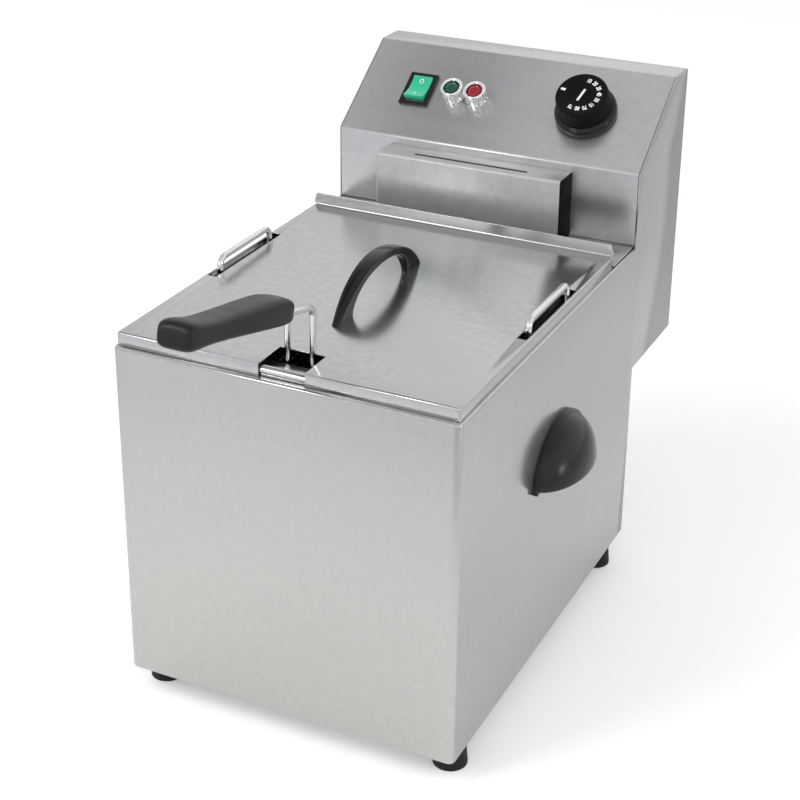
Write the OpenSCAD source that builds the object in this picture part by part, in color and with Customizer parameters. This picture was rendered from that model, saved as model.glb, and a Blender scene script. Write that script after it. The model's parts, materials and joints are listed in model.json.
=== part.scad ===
// Countertop electric deep fryer: sheet-steel casing, lift-out oil tank, lift-out control head with
// its heating element, wire basket and a loose lid. The part rests on z = 0 and faces -Y.

/* [Casing] */
// Outside width of the casing
body_w = 270; // [225:1:324]
// Depth of the casing from its front to its rear panel
body_d = 360; // [350:1:432]
// Height of the casing from its bottom edge to its rim
body_h = 270; // [225:1:324]
// Thickness of the stainless sheet
sheet = 1.2; // [1:0.1:1.5]
// Outside radius of the two front corners
corner_r = 5; // [3:0.5:12]
// Height of the feet
foot_h = 20; // [15:1:30]
// Radius of a foot where it stands
foot_r = 13; // [10:0.5:15]

/* [Control head] */
// Height of the head above the casing rim
head_h = 122; // [110:1:146]
// Height of the head's upright front above the rim
head_front_h = 63; // [55:1:66]
// How far the head reaches back past the casing
head_over = 99; // [80:1:120]
// Depth of the flat top of the head
head_top_d = 30; // [20:1:40]
// Height of the head's underside above the casing's bottom edge
head_under_h = 157; // [130:1:175]
// Width of the cover over the heating element's terminals
cover_w = 166; // [150:1:180]
// How far that cover stands out from the head
cover_d = 25.4; // [24.6:0.2:30]

/* [Controls] */
// Width of the switch bezel
switch_w = 26; // [24:0.5:30]
// Length of the switch bezel
switch_l = 34; // [30:0.5:38]
// Angle the rocker swings through
rocker_swing = 20; // [12:1:22]
// Outside radius of a lamp bezel
lamp_r = 10; // [8:0.5:11]
// Radius of the knob's skirt
knob_r = 26; // [24:0.5:32]
// Height of the knob above the sloping panel
knob_h = 27; // [22:0.5:32]

/* [Tank and basket] */
// Depth of the oil tank below the rim
tank_h = 150; // [125:1:180]
// Height of the basket
basket_h = 96; // [80:1:112]
// Diameter of the tube of the heating element
element_d = 8; // [6.5:0.5:9]
// Diameter of the wire of the tank handles and of the basket handle
wire_d = 5; // [4:0.5:6]
// Length of the basket grip
grip_l = 134; // [110:1:160]
// Width of the basket grip
grip_w = 27; // [22:0.5:30]
// Angle at which the basket grip rises towards the front
grip_rise = 14; // [8:1:18]

/* [Lid] */
// Height of the lid from the rim to its top face
lid_h = 10; // [8:0.5:14]
// Width of the notch for the basket handle
notch_w = 36; // [31:0.5:40]
// Length of the lid's bow handle
bow_l = 142; // [120:1:160]
// Height of the bow handle above the lid
bow_h = 33; // [26:0.5:40]
// Width of the bow handle at its middle
bow_w = 13; // [12:0.5:18]

/* [Side handles] */
// Length of a side handle along the casing
shell_l = 100; // [90:1:130]
// Height of a side handle
shell_h = 42; // [35:1:52]
// How far a side handle stands out
shell_d = 27; // [24:0.5:34]

/* [Hidden] */
$fn = 48;
steel = [0.78, 0.78, 0.77];
bright = [0.88, 0.88, 0.88];
copper = [0.72, 0.45, 0.3];
black = [0.07, 0.07, 0.07];

// Clearances
slip = 0.3;         // between sheets that slide past each other
fit = 0.06;         // radial clearance of a shaft or screw in its hole
loose = 2;          // between wires and the slots they pass through

// Heights
bottom_z = foot_h;
rim_z = foot_h + body_h;
lid_z = rim_z + lid_h;
head_z = rim_z + head_h;
slope_z = rim_z + head_front_h;
under_z = foot_h + head_under_h;

// Depths, measured from the front of the casing
head_y = body_d - 13;
back_y = body_d + head_over;
bend_y = back_y - head_top_d;
slope_a = atan2(head_z - slope_z, bend_y - head_y);
slope_l = norm([head_z - slope_z, bend_y - head_y]);
half_w = body_w / 2;
fold = 16;          // width of the casing's folded rim

// Tank
tank_t = 1;
tank_x = half_w - fold - 3 - tank_t;
tank_front = 27;
tank_back = head_y - 9;
flange_x = half_w - 5;
tank_r = 20;
tank_bottom = rim_z - tank_h;
deck_z = rim_z + tank_t;
wire_r = wire_d / 2;
bail_x = half_w - 8;
bail_l = 80;
bail_y = 172 * body_d / 360;
bail_top = lid_z + 12;
slot_l = bail_l + 20;
slot_w = wire_d + 1.3 * loose;

// Lid
lid_x = half_w - 2;
lid_front = 4;
lid_back = head_y - 49;
lid_t = 1;
lid_mid = (lid_front + lid_back) / 2;
notch_back = 35;

// Basket
handle_x = 10;
handle_y = tank_front + 2 + wire_r;
basket_front = handle_y + wire_r;
basket_x = tank_x - 16;
basket_back = lid_back - 11;
basket_base = tank_bottom + 40;
basket_top = basket_base + basket_h;
basket_t = 1.2;
rim_wire_r = 3;
bend_z = lid_z + 37;
bend_r = 8;         // bend of the wires between the notch and the grip
grip_h = 17;
grip_gap = 27;      // bare wire between the bend and the grip

// The grip's own frame starts at the bend of the wires and runs forward and up
grip_end = grip_gap + grip_l;
grip_front_y = handle_y - (grip_end - grip_h / 2) * cos(grip_rise) - grip_h / 2;

// Heating element
tube_r = element_d / 2;
runs = 6;
run_pitch = 28;
element_x = -5;
element_z = tank_bottom + 22;
riser_y = head_y - 17;
element_front = basket_front + 28;
element_back = riser_y - run_pitch / 2 - 18;
guard_top = basket_base;
cover_x0 = element_x - cover_w / 2;
cover_x1 = element_x + cover_w / 2;
cover_z = rim_z + 56;
cover_front = head_y - cover_d;

// Controls on the slope, measured up the slope from its lower edge
switch_x = -0.589 * half_w;
lamp_green_x = -0.345 * half_w;
lamp_pitch = 2 * lamp_r + 1;
knob_x = 0.54 * half_w;
control_s = slope_l / 2;
shaft_r = 3;
pivot_h = 0.5;
rocker_x = 8;
rocker_y = 12.6;
hole_x = rocker_x + 0.5;
hole_y = rocker_y + 0.9;

// Rear fittings
gland_z = under_z + 34;
gland_x = -70;
gland_r = 4.2;
gland_out = 16;
reset_x = 60;
reset_z = under_z + 60;
rear_y = back_y + gland_out;

// Side handle
shell_y = body_d * 0.513;
shell_z = bottom_z + body_h * 0.563;
shell_t = 3;
boss_y = shell_l * 0.3;
boss_z = 14;

// The whole object is centred from its grip to its cable gland
mid_y = (grip_front_y + rear_y) / 2;

foot_x = half_w - foot_r - 1;
foot_y = [28, body_d - 28];

// ---------- shapes that repeat ----------

module placed() translate([0, -mid_y, 0]) children();

// A block between two opposite corners
module block(a, b) translate(a) cube(b - a);

// A round rod from one point to another
module rod(a, b, r) {
  d = b - a;
  l = norm(d);
  translate(a)
    rotate([0, acos(d[2] / l), atan2(d[1], d[0])])
      cylinder(h = l, r = r);
}

// A rod through a list of points, with round elbows
module rod_run(points, r) {
  for (i = [0 : len(points) - 2]) rod(points[i], points[i + 1], r);
  for (i = [1 : len(points) - 2]) translate(points[i]) sphere(r = r);
}

// A bent rod in the Y-Z plane, about a centre, from an angle above +Y and through a turn
module elbow(centre, r, rod_r, start, turn)
  translate(centre) rotate([90, 0, 90]) rotate([0, 0, start])
    rotate_extrude(angle = turn) translate([r, 0]) circle(rod_r);

// A profile drawn in Y and Z, run across the width between two X values
module across(x0, x1)
  translate([x0, 0, 0]) rotate([90, 0, 90]) linear_extrude(x1 - x0) children();

// A rectangle with rounded corners, from two opposite corners
module rounded(a, b, r) {
  translate([a[0] + r, a[1]]) square([b[0] - a[0] - 2 * r, b[1] - a[1]]);
  translate([a[0], a[1] + r]) square([b[0] - a[0], b[1] - a[1] - 2 * r]);
  for (x = [a[0] + r, b[0] - r], y = [a[1] + r, b[1] - r]) translate([x, y]) circle(r);
}

// A pan-head screw whose head sits on z = 0 and whose shank runs down
module screw(shank_r, shank_l, head_r, head_h) {
  translate([0, 0, -shank_l]) cylinder(h = shank_l, r = shank_r);
  difference() {
    cylinder(h = head_h, r = head_r);
    for (a = [0, 90]) rotate([0, 0, a]) translate([-head_r * 0.6, -0.4, head_h - 0.8])
      cube([head_r * 1.2, 0.8, 1]);
  }
}

// The frame of the sloping panel: x across, y up the slope, z out of it
module on_slope(x, s)
  translate([x, head_y, slope_z]) rotate([slope_a, 0, 0]) translate([0, s, 0]) children();

// The frame of the basket handle: x across, y forward and up from the bend
module on_handle()
  translate([0, handle_y, bend_z]) rotate([0, 0, 180]) rotate([grip_rise, 0, 0]) children();

// ---------- casing ----------

module side_outline()
  polygon([[0, bottom_z], [body_d, bottom_z], [body_d, under_z], [back_y, under_z],
           [back_y, head_z], [bend_y, head_z], [head_y, slope_z], [head_y, rim_z], [0, rim_z]]);

module wrap_outline(inset) {
  r = corner_r - inset;
  translate([-half_w + corner_r, inset]) square([body_w - 2 * corner_r, back_y]);
  translate([-half_w + inset, corner_r]) square([body_w - 2 * inset, back_y]);
  for (x = [-1, 1]) translate([x * (half_w - corner_r), corner_r]) circle(r);
}

module casing_shell() color(steel) placed() {
  difference() {
    intersection() {
      linear_extrude(head_z) difference() {
        wrap_outline(0);
        wrap_outline(sheet);
      }
      across(-half_w, half_w) side_outline();
    }
    for (y = [-boss_y, boss_y]) translate([-half_w - 1, shell_y + y, shell_z + boss_z])
      rotate([0, 90, 0]) cylinder(h = body_w + 2, r = 2 + fit);
  }
  // folded rim that carries the tank and the lid
  translate([0, 0, rim_z - sheet]) linear_extrude(sheet) intersection() {
    wrap_outline(sheet);
    union() {
      translate([-half_w, 0]) square([body_w, fold + 3]);
      for (x = [-half_w, half_w - fold]) translate([x, 0]) square([fold, head_y]);
    }
  }
  // upright folds that the rear panel is screwed to
  for (x = [-1, 1]) difference() {
    block([min(x * (half_w - sheet), x * (half_w - fold)), body_d - 2 * sheet, bottom_z + sheet],
          [max(x * (half_w - sheet), x * (half_w - fold)), body_d - sheet, under_z]);
    for (z = rear_screw_z) translate([x * rear_screw_x, body_d, z])
      rotate([90, 0, 0]) cylinder(h = 4, r = 2 + fit);
  }
}

rear_screw_x = half_w - 10;
rear_screw_z = [bottom_z + 35, under_z - 30];

module rear_panel() color(steel) placed() difference() {
  block([-half_w + sheet + slip, body_d - sheet, bottom_z + sheet + slip],
        [half_w - sheet - slip, body_d, rim_z - slip]);
  for (x = [-rear_screw_x, rear_screw_x], z = rear_screw_z) translate([x, body_d + 1, z])
    rotate([90, 0, 0]) cylinder(h = 4, r = 2 + fit);
}

module rear_panel_screws() color(bright) placed()
  for (x = [-rear_screw_x, rear_screw_x], z = rear_screw_z) translate([x, body_d, z])
    rotate([-90, 0, 0]) screw(2, 6, 3.6, 1.4);

module base_plate() color(steel) placed() difference() {
  block([-half_w + sheet, sheet, bottom_z], [half_w - sheet, body_d - sheet, bottom_z + sheet]);
  for (x = [-1, 1]) translate([x * (half_w - corner_r), corner_r, bottom_z - 1])
    difference() {
      translate([x * corner_r / 2, -corner_r / 2, sheet / 2 + 1])
        cube([corner_r, corner_r, sheet + 1], center = true);
      cylinder(h = sheet + 2, r = corner_r - sheet);
    }
  for (x = [-foot_x, foot_x], y = foot_y) translate([x, y, bottom_z - 1])
    cylinder(h = 4, r = 2.5 + fit);
  // row of air holes under the tank
  for (x = [-60 : 30 : 60], y = [body_d / 3, body_d / 2, body_d * 2 / 3])
    translate([x, y, bottom_z - 1]) cylinder(h = 4, r = 5);
}

module feet() color(black) placed()
  for (x = [-foot_x, foot_x], y = foot_y) translate([x, y, 0]) difference() {
    cylinder(h = foot_h, r1 = foot_r, r2 = foot_r - 2);
    translate([0, 0, -1]) cylinder(h = foot_h + 2, r = 2.5 + fit);
    translate([0, 0, -1]) cylinder(h = foot_h - 6, r = 6);
  }

module foot_screws() color(bright) placed()
  for (x = [-foot_x, foot_x], y = foot_y) translate([x, y, foot_h - 7]) mirror([0, 0, 1])
    screw(2.5, 12, 5, 3);

// ---------- side handles ----------

module ellipsoid(a, b, c) scale([a, b, c]) sphere(r = 1, $fn = 40);

module side_handle() {
  difference() {
    union() {
      difference() {
        ellipsoid(shell_d, shell_l / 2, shell_h);
        ellipsoid(shell_d - shell_t, shell_l / 2 - shell_t, shell_h - shell_t);
      }
      intersection() {
        ellipsoid(shell_d - 1, shell_l / 2 - 1, shell_h - 1);
        for (y = [-boss_y, boss_y]) translate([0, y, boss_z]) rotate([0, 90, 0])
          cylinder(h = shell_d, r = 5);
      }
    }
    block([-shell_d - 1, -shell_l, -shell_h - 1], [0, shell_l, shell_h + 1]);
    block([-1, -shell_l, -shell_h - 1], [shell_d + 1, shell_l, 0]);
    for (y = [-boss_y, boss_y]) translate([-1, y, boss_z]) rotate([0, 90, 0])
      cylinder(h = 11, r = 2 + fit);
  }
}

module side_handle_right() color(black) placed()
  translate([half_w, shell_y, shell_z]) side_handle();

module side_handle_left() color(black) placed()
  translate([-half_w, shell_y, shell_z]) mirror([1, 0, 0]) side_handle();

module side_handle_screws() color(bright) placed()
  for (x = [-1, 1], y = [-boss_y, boss_y])
    translate([x * (half_w - sheet), shell_y + y, shell_z + boss_z]) rotate([0, -90 * x, 0])
      screw(2, 9, 4, 2);

// ---------- oil tank ----------

module oil_tank() color(bright) placed() {
  difference() {
    union() {
      translate([0, 0, tank_bottom - tank_t]) linear_extrude(tank_h + 2 * tank_t)
        rounded([-tank_x - tank_t, tank_front - tank_t], [tank_x + tank_t, tank_back + tank_t],
                tank_r + tank_t);
      translate([0, 0, rim_z]) linear_extrude(tank_t)
        rounded([-flange_x, 8], [flange_x, head_y - 1], 6);
    }
    translate([0, 0, tank_bottom]) linear_extrude(tank_h + 10)
      rounded([-tank_x, tank_front], [tank_x, tank_back], tank_r);
  }
  // rolled lip along the front
  translate([-tank_x, 9, rim_z + 3.8]) rotate([0, 90, 0])
    cylinder(h = 2 * tank_x, r = 3.5);
}

module tank_handle(x) {
  r = 7;
  y0 = bail_y - bail_l / 2;
  y1 = bail_y + bail_l / 2;
  z = bail_top - wire_r;
  for (y = [y0, y1]) rod([x, y, deck_z], [x, y, z - r], wire_r);
  rod([x, y0 + r, z], [x, y1 - r, z], wire_r);
  elbow([x, y0 + r, z - r], r, wire_r, 90, 90);
  elbow([x, y1 - r, z - r], r, wire_r, 0, 90);
}

module tank_handle_left() color(bright) placed() tank_handle(-bail_x);
module tank_handle_right() color(bright) placed() tank_handle(bail_x);

// ---------- control head ----------

box_x = half_w - sheet - slip;
box_front = head_y + sheet;
box_low_y = body_d + 2;
bend_in_z = slope_z - sheet * (1 - sin(slope_a)) / cos(slope_a);
bend_in_y = bend_y + sheet * (1 - cos(slope_a)) / sin(slope_a);
panel_z = deck_z + sheet;

module control_panel() color(steel) placed() difference() {
  across(-box_x, box_x)
    polygon([[head_y, panel_z], [head_y, slope_z], [bend_y, head_z], [back_y, head_z],
             [back_y, head_z - sheet], [bend_in_y, head_z - sheet], [box_front, bend_in_z],
             [box_front, panel_z]]);
  on_slope(switch_x, control_s) block([-switch_w / 2 + 2, -switch_l / 2 + 2, -4],
                                      [switch_w / 2 - 2, switch_l / 2 - 2, 4]);
  for (x = [lamp_green_x, lamp_green_x + lamp_pitch]) on_slope(x, control_s)
    translate([0, 0, -4]) cylinder(h = 8, r = 6 + fit);
  on_slope(knob_x, control_s) translate([0, 0, -4]) cylinder(h = 8, r = 5 + fit);
  // way through for the element's terminals and the capillary tubes
  block([cover_x0 + 20, head_y - 1, deck_z + 12], [cover_x1 - 20, head_y + 3, cover_z - 12]);
}

module box_outline()
  polygon([[box_front, panel_z], [box_front, bend_in_z], [bend_in_y, head_z - sheet],
           [back_y, head_z - sheet], [back_y, under_z], [box_low_y, under_z],
           [box_low_y, panel_z]]);

module box_hollow()
  polygon([[box_front - 1, panel_z + sheet], [box_front - 1, head_z], [back_y - sheet, head_z],
           [back_y - sheet, under_z + sheet], [box_low_y + sheet, under_z + sheet],
           [box_low_y + sheet, panel_z + sheet]]);

module control_box() color(steel) placed() difference() {
  across(-box_x, box_x) box_outline();
  across(-box_x + sheet, box_x - sheet) box_hollow();
  translate([gland_x, back_y - 4, gland_z]) rotate([-90, 0, 0]) cylinder(h = 8, r = 8 + fit);
  translate([reset_x, back_y - 4, reset_z]) rotate([-90, 0, 0]) cylinder(h = 8, r = 5 + fit);
  for (x = box_screw_x) translate([x, back_y - 4, box_screw_z]) rotate([-90, 0, 0])
    cylinder(h = 8, r = 2 + fit);
  // air slots through the underside
  for (x = [-80 : 20 : 80])
    block([x - 3, box_low_y + 20, under_z - 1], [x + 3, back_y - 20, under_z + 2]);
}

box_screw_x = [-half_w + 18, half_w - 18];
box_screw_z = head_z - 14;

module control_box_screws() color(bright) placed()
  for (x = box_screw_x) translate([x, back_y, box_screw_z]) rotate([-90, 0, 0])
    screw(2, 8, 3.6, 2);

module rear_deck() color(steel) placed() difference() {
  block([-box_x, lid_back + 2, deck_z], [box_x, box_front, panel_z]);
  block([run_x(0) - 6, riser_y - 5.5, deck_z - 1], [run_x(run_last) + 6, riser_y + 5.5, panel_z + 1]);
}

module heater_cover() color(steel) placed() difference() {
  block([cover_x0, cover_front, panel_z], [cover_x1 - sheet - slip, head_y, cover_z]);
  block([cover_x0 + sheet, cover_front + sheet, panel_z - 1],
        [cover_x1 + 1, head_y + 1, cover_z - sheet]);
  block([cover_x0 + 32, cover_front + 8, cover_z - 3],
        [cover_x1 - 33, cover_front + 10, cover_z + 1]);
}

module heater_cover_end() color(black) placed()
  block([cover_x1 - sheet - slip, cover_front, panel_z], [cover_x1, head_y, cover_z]);

// ---------- heating element ----------

function run_x(i) = element_x + (i - (runs - 1) / 2) * run_pitch;
run_last = runs - 1;
elbow_r = 14;
terminal_z = cover_z - 22;

module heating_element() color([0.55, 0.53, 0.5]) placed() {
  for (i = [0 : run_last]) {
    is_end = i == 0 || i == run_last;
    y1 = is_end ? riser_y - elbow_r : element_back;
    rod([run_x(i), element_front, element_z], [run_x(i), y1, element_z], tube_r);
  }
  // half turns at the front and at the back
  for (i = [0 : 2 : run_last - 1])
    translate([run_x(i) + run_pitch / 2, element_front, element_z]) rotate([0, 0, 180])
      rotate_extrude(angle = 180) translate([run_pitch / 2, 0]) circle(tube_r);
  for (i = [1 : 2 : run_last - 1])
    translate([run_x(i) + run_pitch / 2, element_back, element_z])
      rotate_extrude(angle = 180) translate([run_pitch / 2, 0]) circle(tube_r);
  // the two ends turn up and leave the tank
  for (x = [run_x(0), run_x(run_last)]) {
    elbow([x, riser_y - elbow_r, element_z + elbow_r], elbow_r, tube_r, -90, 90);
    rod([x, riser_y, element_z + elbow_r], [x, riser_y, terminal_z], tube_r);
  }
}

strap_y = [element_front + 40, (element_front + element_back) / 2, element_back - 40];

module element_straps() color(bright) placed()
  for (y = strap_y)
    block([run_x(0) - 8, y - 5, element_z - tube_r - 1.5],
          [run_x(run_last) + 8, y + 5, element_z - tube_r]);

module element_guard() color(bright) placed() {
  z0 = element_z + tube_r;
  for (y = strap_y) block([run_x(0) - 8, y - 1, z0], [run_x(run_last) + 8, y + 1, guard_top]);
  for (i = [0, 2, 3, 5]) for (k = [0, 1])
    block([run_x(i) - 1, strap_y[k] + 1, guard_top - 6], [run_x(i) + 1, strap_y[k + 1] - 1, guard_top]);
}

module terminal_plate() color(steel) placed() difference() {
  block([run_x(0) - 9, max(riser_y - 7, cover_front + sheet + slip), panel_z],
        [run_x(run_last) + 9, riser_y + 7, panel_z + 2]);
  for (x = [run_x(0), run_x(run_last)]) translate([x, riser_y, panel_z - 1])
    cylinder(h = 4, r = tube_r + fit);
  for (x = capillary_x) translate([x, riser_y, panel_z - 1]) cylinder(h = 4, r = 1 + fit);
}

module element_terminals() color([0.75, 0.72, 0.6]) placed()
  for (x = [run_x(0), run_x(run_last)]) {
    translate([x, riser_y, terminal_z]) cylinder(h = 12, r = 1.75);
    translate([x - 3, riser_y - 0.4, terminal_z + 12]) cube([6, 0.8, 7]);
  }

// ---------- thermostats ----------

bulb_l = 70;
bulb_r = 3;
bulb_x1 = 2;
bulb_y = element_back + run_pitch / 2 + tube_r + 7;
bulb_z = [element_z + 8, element_z + 22];
capillary_x = [bulb_x1 + 5, bulb_x1 + 16];
capillary_z = cover_z - 20;
clip_x = [run_x(1.5) - 7, run_x(1.5) + 7];

// A sensing bulb low in the tank
module bulb(z) rod([bulb_x1 - bulb_l, bulb_y, z], [bulb_x1, bulb_y, z], bulb_r);

// The thin tube from a bulb up out of the tank and back into the control box
module capillary(x, z, end) rod_run([[bulb_x1 - 1, bulb_y, z], [x, bulb_y, z], [x, riser_y, z],
  [x, riser_y, capillary_z], [x, head_y + 12, capillary_z], end], 1);

module thermostat_bulb() color(copper) placed() {
  bulb(bulb_z[0]);
  capillary(capillary_x[0], bulb_z[0], thermostat_end);
}

module limit_bulb() color(copper) placed() {
  bulb(bulb_z[1]);
  capillary(capillary_x[1], bulb_z[1], limit_end);
}

module bulb_clips() color(bright) placed() difference() {
  for (x = clip_x) {
    block([x - 2, bulb_y - 6, element_z + tube_r], [x + 2, bulb_y + 5, bulb_z[1] + 6]);
    block([x - 2, bulb_y - 24, element_z + tube_r], [x + 2, bulb_y - 6, element_z + tube_r + 2]);
  }
  for (z = bulb_z) rod([clip_x[0] - 3, bulb_y, z], [clip_x[1] + 3, bulb_y, z], bulb_r + fit);
}

// Where the two capillaries end, beside the two thermostats
thermostat_end = [knob_x - 22.5,
                  head_y + control_s * cos(slope_a) + 22 * sin(slope_a),
                  slope_z + control_s * sin(slope_a) - 22 * cos(slope_a)];
limit_end = [reset_x - 16.5, back_y - 26, reset_z];

module thermostat_body() color([0.3, 0.3, 0.3]) placed() on_slope(knob_x, control_s)
  difference() {
    union() {
      block([-21, -21, -34], [21, 21, -sheet - 3]);
      translate([0, 0, -sheet - 3]) cylinder(h = sheet + 4.5, r = 5);
    }
    translate([0, 0, -24]) cylinder(h = 30, r = shaft_r + fit);
  }

module thermostat_shaft() color(bright) placed() on_slope(knob_x, control_s)
  translate([0, 0, -23.5]) cylinder(h = 23.5 + knob_h - 8, r = shaft_r);

module knob() color(black) placed() on_slope(knob_x, control_s) difference() {
  rotate_extrude() polygon([[0, 2], [knob_r - 1, 2], [knob_r, 3], [knob_r, 7.5],
                            [knob_r - 1.5, 9.5], [knob_r - 2.5, 10], [knob_r - 4, knob_h - 1],
                            [knob_r - 5, knob_h], [0, knob_h]]);
  translate([0, 0, 1]) cylinder(h = knob_h - 9, r = shaft_r + fit);
  // hollow under the skirt
  difference() {
    translate([0, 0, 1]) cylinder(h = 7, r = knob_r - 3);
    cylinder(h = 9, r = 8);
  }
}

module limit_thermostat() color([0.25, 0.25, 0.25]) placed()
  translate([reset_x, back_y - sheet, reset_z]) rotate([90, 0, 0]) difference() {
    block([-15, -17, 3], [15, 17, 34]);
    translate([0, 0, 1]) cylinder(h = 8, r = 2.5 + fit);
  }

module reset_button() color([0.75, 0.1, 0.1]) placed()
  translate([reset_x, back_y - sheet, reset_z]) rotate([90, 0, 0]) {
    translate([0, 0, -4]) cylinder(h = 4.4, r = 4.5);
    translate([0, 0, 0.4]) cylinder(h = 5.6, r = 2.5);
  }

// ---------- switch and lamps ----------

module switch_housing() color(black) placed() on_slope(switch_x, control_s) difference() {
  union() {
    block([-switch_w / 2, -switch_l / 2, 0], [switch_w / 2, switch_l / 2, 2]);
    block([-switch_w / 2 + 2 + slip, -switch_l / 2 + 2 + slip, -20],
          [switch_w / 2 - 2 - slip, switch_l / 2 - 2 - slip, 0]);
    for (y = [-9, 0, 9]) block([-3, y - 0.4, -28], [3, y + 0.4, -20]);
  }
  block([-hole_x, -hole_y, -9], [hole_x, hole_y, 3]);
  translate([-hole_x - 1.5, 0, pivot_h]) rotate([0, 90, 0])
    cylinder(h = 2 * hole_x + 3, r = 1 + fit);
}

module switch_rocker() color([0.05, 0.6, 0.35]) placed() on_slope(switch_x, control_s)
  translate([0, 0, pivot_h]) rotate([-rocker_swing / 2, 0, 0]) {
    across(-rocker_x, rocker_x)
      polygon([[-rocker_y, 4.2], [-rocker_y / 2, 2.2], [0, 1.6], [rocker_y / 2, 2.2],
               [rocker_y, 4.2], [rocker_y - 0.6, 0], [7, -5], [-7, -5], [-rocker_y + 0.6, 0]]);
    translate([-hole_x - 1.2, 0, 0]) rotate([0, 90, 0]) cylinder(h = 2 * hole_x + 2.4, r = 1);
  }

module lamp_bezel(x) on_slope(x, control_s) rotate_extrude()
  polygon([[4.5, -16], [6, -16], [6, 0], [lamp_r - 0.4, 0], [lamp_r - 0.4, 9],
           [lamp_r, 9.5], [lamp_r, 11.5], [lamp_r - 1, 12.5], [7, 11.5], [6.5, 10],
           [6.5, 7], [4.5, 7]]);

module lamp_lens(x) on_slope(x, control_s) rotate_extrude()
  polygon([[0, -12], [4.5 - fit, -12], [4.5 - fit, 7], [6.5 - fit, 7], [6.5 - fit, 9.4],
           [5, 10.6], [2.5, 11.3], [0, 11.5]]);

module lamp_bezel_green() color(bright) placed() lamp_bezel(lamp_green_x);
module lamp_bezel_red() color(bright) placed() lamp_bezel(lamp_green_x + lamp_pitch);
module lamp_lens_green() color([0.05, 0.4, 0.2]) placed() lamp_lens(lamp_green_x);
module lamp_lens_red() color([0.7, 0.08, 0.1]) placed() lamp_lens(lamp_green_x + lamp_pitch);

// ---------- rear fittings and wiring parts ----------

box_floor = under_z + sheet;

module contactor() color([0.85, 0.85, 0.82]) placed() {
  block([-25, back_y - 62, box_floor], [20, back_y - 10, box_floor + 60]);
  for (x = [-18, -2.5, 13]) translate([x, back_y - 54, box_floor + 60])
    cylinder(h = 3, r = 3);
}

module terminal_block() color([0.9, 0.9, 0.88]) placed() difference() {
  block([gland_x - 30, back_y - 70, box_floor], [gland_x + 30, back_y - 48, box_floor + 18]);
  for (x = [-22.5 : 15 : 22.5]) translate([gland_x + x, back_y - 59, box_floor + 6])
    cylinder(h = 20, r = 3);
}

module cable_gland() color(black) placed() translate([gland_x, back_y, gland_z])
  rotate([-90, 0, 0]) rotate_extrude()
    polygon([[gland_r, -sheet - 10], [8, -sheet - 10], [8, -sheet - 6], [11, -sheet - 6],
             [11, -sheet], [8, -sheet], [8, 0], [11, 0], [11, 5], [9.5, 6], [9.5, gland_out - 1],
             [8.5, gland_out], [gland_r, gland_out]]);

// ---------- basket ----------

module ring(r, z, x, y0, y1) {
  rod_run([[-x, y0, z], [x, y0, z], [x, y1, z], [-x, y1, z], [-x, y0, z]], r);
  translate([-x, y0, z]) sphere(r = r);
}

module basket_frame() color(bright) placed() {
  in = basket_t + rim_wire_r + 0.1;
  ring(rim_wire_r, basket_top - rim_wire_r, basket_x - in, basket_front + in, basket_back - in);
}

module basket_mesh() color([0.7, 0.7, 0.68]) placed() difference() {
  block([-basket_x, basket_front, basket_base], [basket_x, basket_back, basket_top]);
  block([-basket_x + basket_t, basket_front + basket_t, basket_base + basket_t],
        [basket_x - basket_t, basket_back - basket_t, basket_top + 1]);
}

// Each wire stands up out of the basket, bends forward and runs into the grip
module basket_handle_wires() color(bright) placed() {
  far = grip_gap + 40;
  start = bend_r * tan((90 - grip_rise) / 2);
  path = [[handle_y, basket_base + 10], [handle_y, bend_z - start],
          [handle_y - start * cos(grip_rise), bend_z + start * sin(grip_rise)],
          [handle_y - far * cos(grip_rise), bend_z + far * sin(grip_rise)]];
  for (x = [-handle_x, handle_x]) {
    for (i = [0 : 2]) rod([x, path[i][0], path[i][1]], [x, path[i + 1][0], path[i + 1][1]], wire_r);
    // the two knuckles of the bend stand slightly proud
    for (i = [1, 2]) translate([x, path[i][0], path[i][1]]) sphere(r = wire_r + 0.2);
  }
}

module basket_grip() color(black) placed() difference() {
  on_handle() across(-grip_w / 2, grip_w / 2) union() {
    translate([grip_gap + grip_h / 2, -grip_h / 2]) square([grip_l - grip_h, grip_h]);
    for (y = [grip_gap + grip_h / 2, grip_end - grip_h / 2]) translate([y, 0]) circle(grip_h / 2);
  }
  on_handle() for (x = [-handle_x, handle_x])
    rod([x, grip_gap - 2, 0], [x, grip_gap + 41, 0], wire_r + fit);
}

// ---------- lid ----------

module lid_plan(inset)
  translate([-lid_x + inset, lid_front + inset])
    square([2 * (lid_x - inset), lid_back - lid_front]);

module lid() color(steel) placed() {
  difference() {
    block([-lid_x, lid_front, rim_z], [lid_x, lid_back, lid_z]);
    block([-lid_x + lid_t, lid_front + lid_t, rim_z - 1], [lid_x - lid_t, lid_back + 1, lid_z - lid_t]);
    block([-notch_w / 2, -1, rim_z - 2], [notch_w / 2, notch_back, lid_z + 1]);
    for (x = [-bail_x, bail_x])
      block([x - slot_w / 2, bail_y - slot_l / 2, rim_z + 2],
            [x + slot_w / 2, bail_y + slot_l / 2, lid_z + 1]);
    for (y = bow_screw_y) translate([0, y, rim_z]) cylinder(h = lid_h + 2, r = 2 + fit);
  }
  // edge turned up along the back
  translate([0, lid_back, lid_z]) rotate([90, 0, 0]) linear_extrude(lid_t)
    polygon([[-lid_x, 0], [lid_x, 0], [lid_x, 3], [lid_x - 7, 10], [-lid_x + 7, 10], [-lid_x, 3]]);
}

bow_screw_y = [lid_mid - bow_l / 2 + 15, lid_mid + bow_l / 2 - 15];
function arch_r(half, rise) = (half * half + rise * rise) / (2 * rise);

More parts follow.
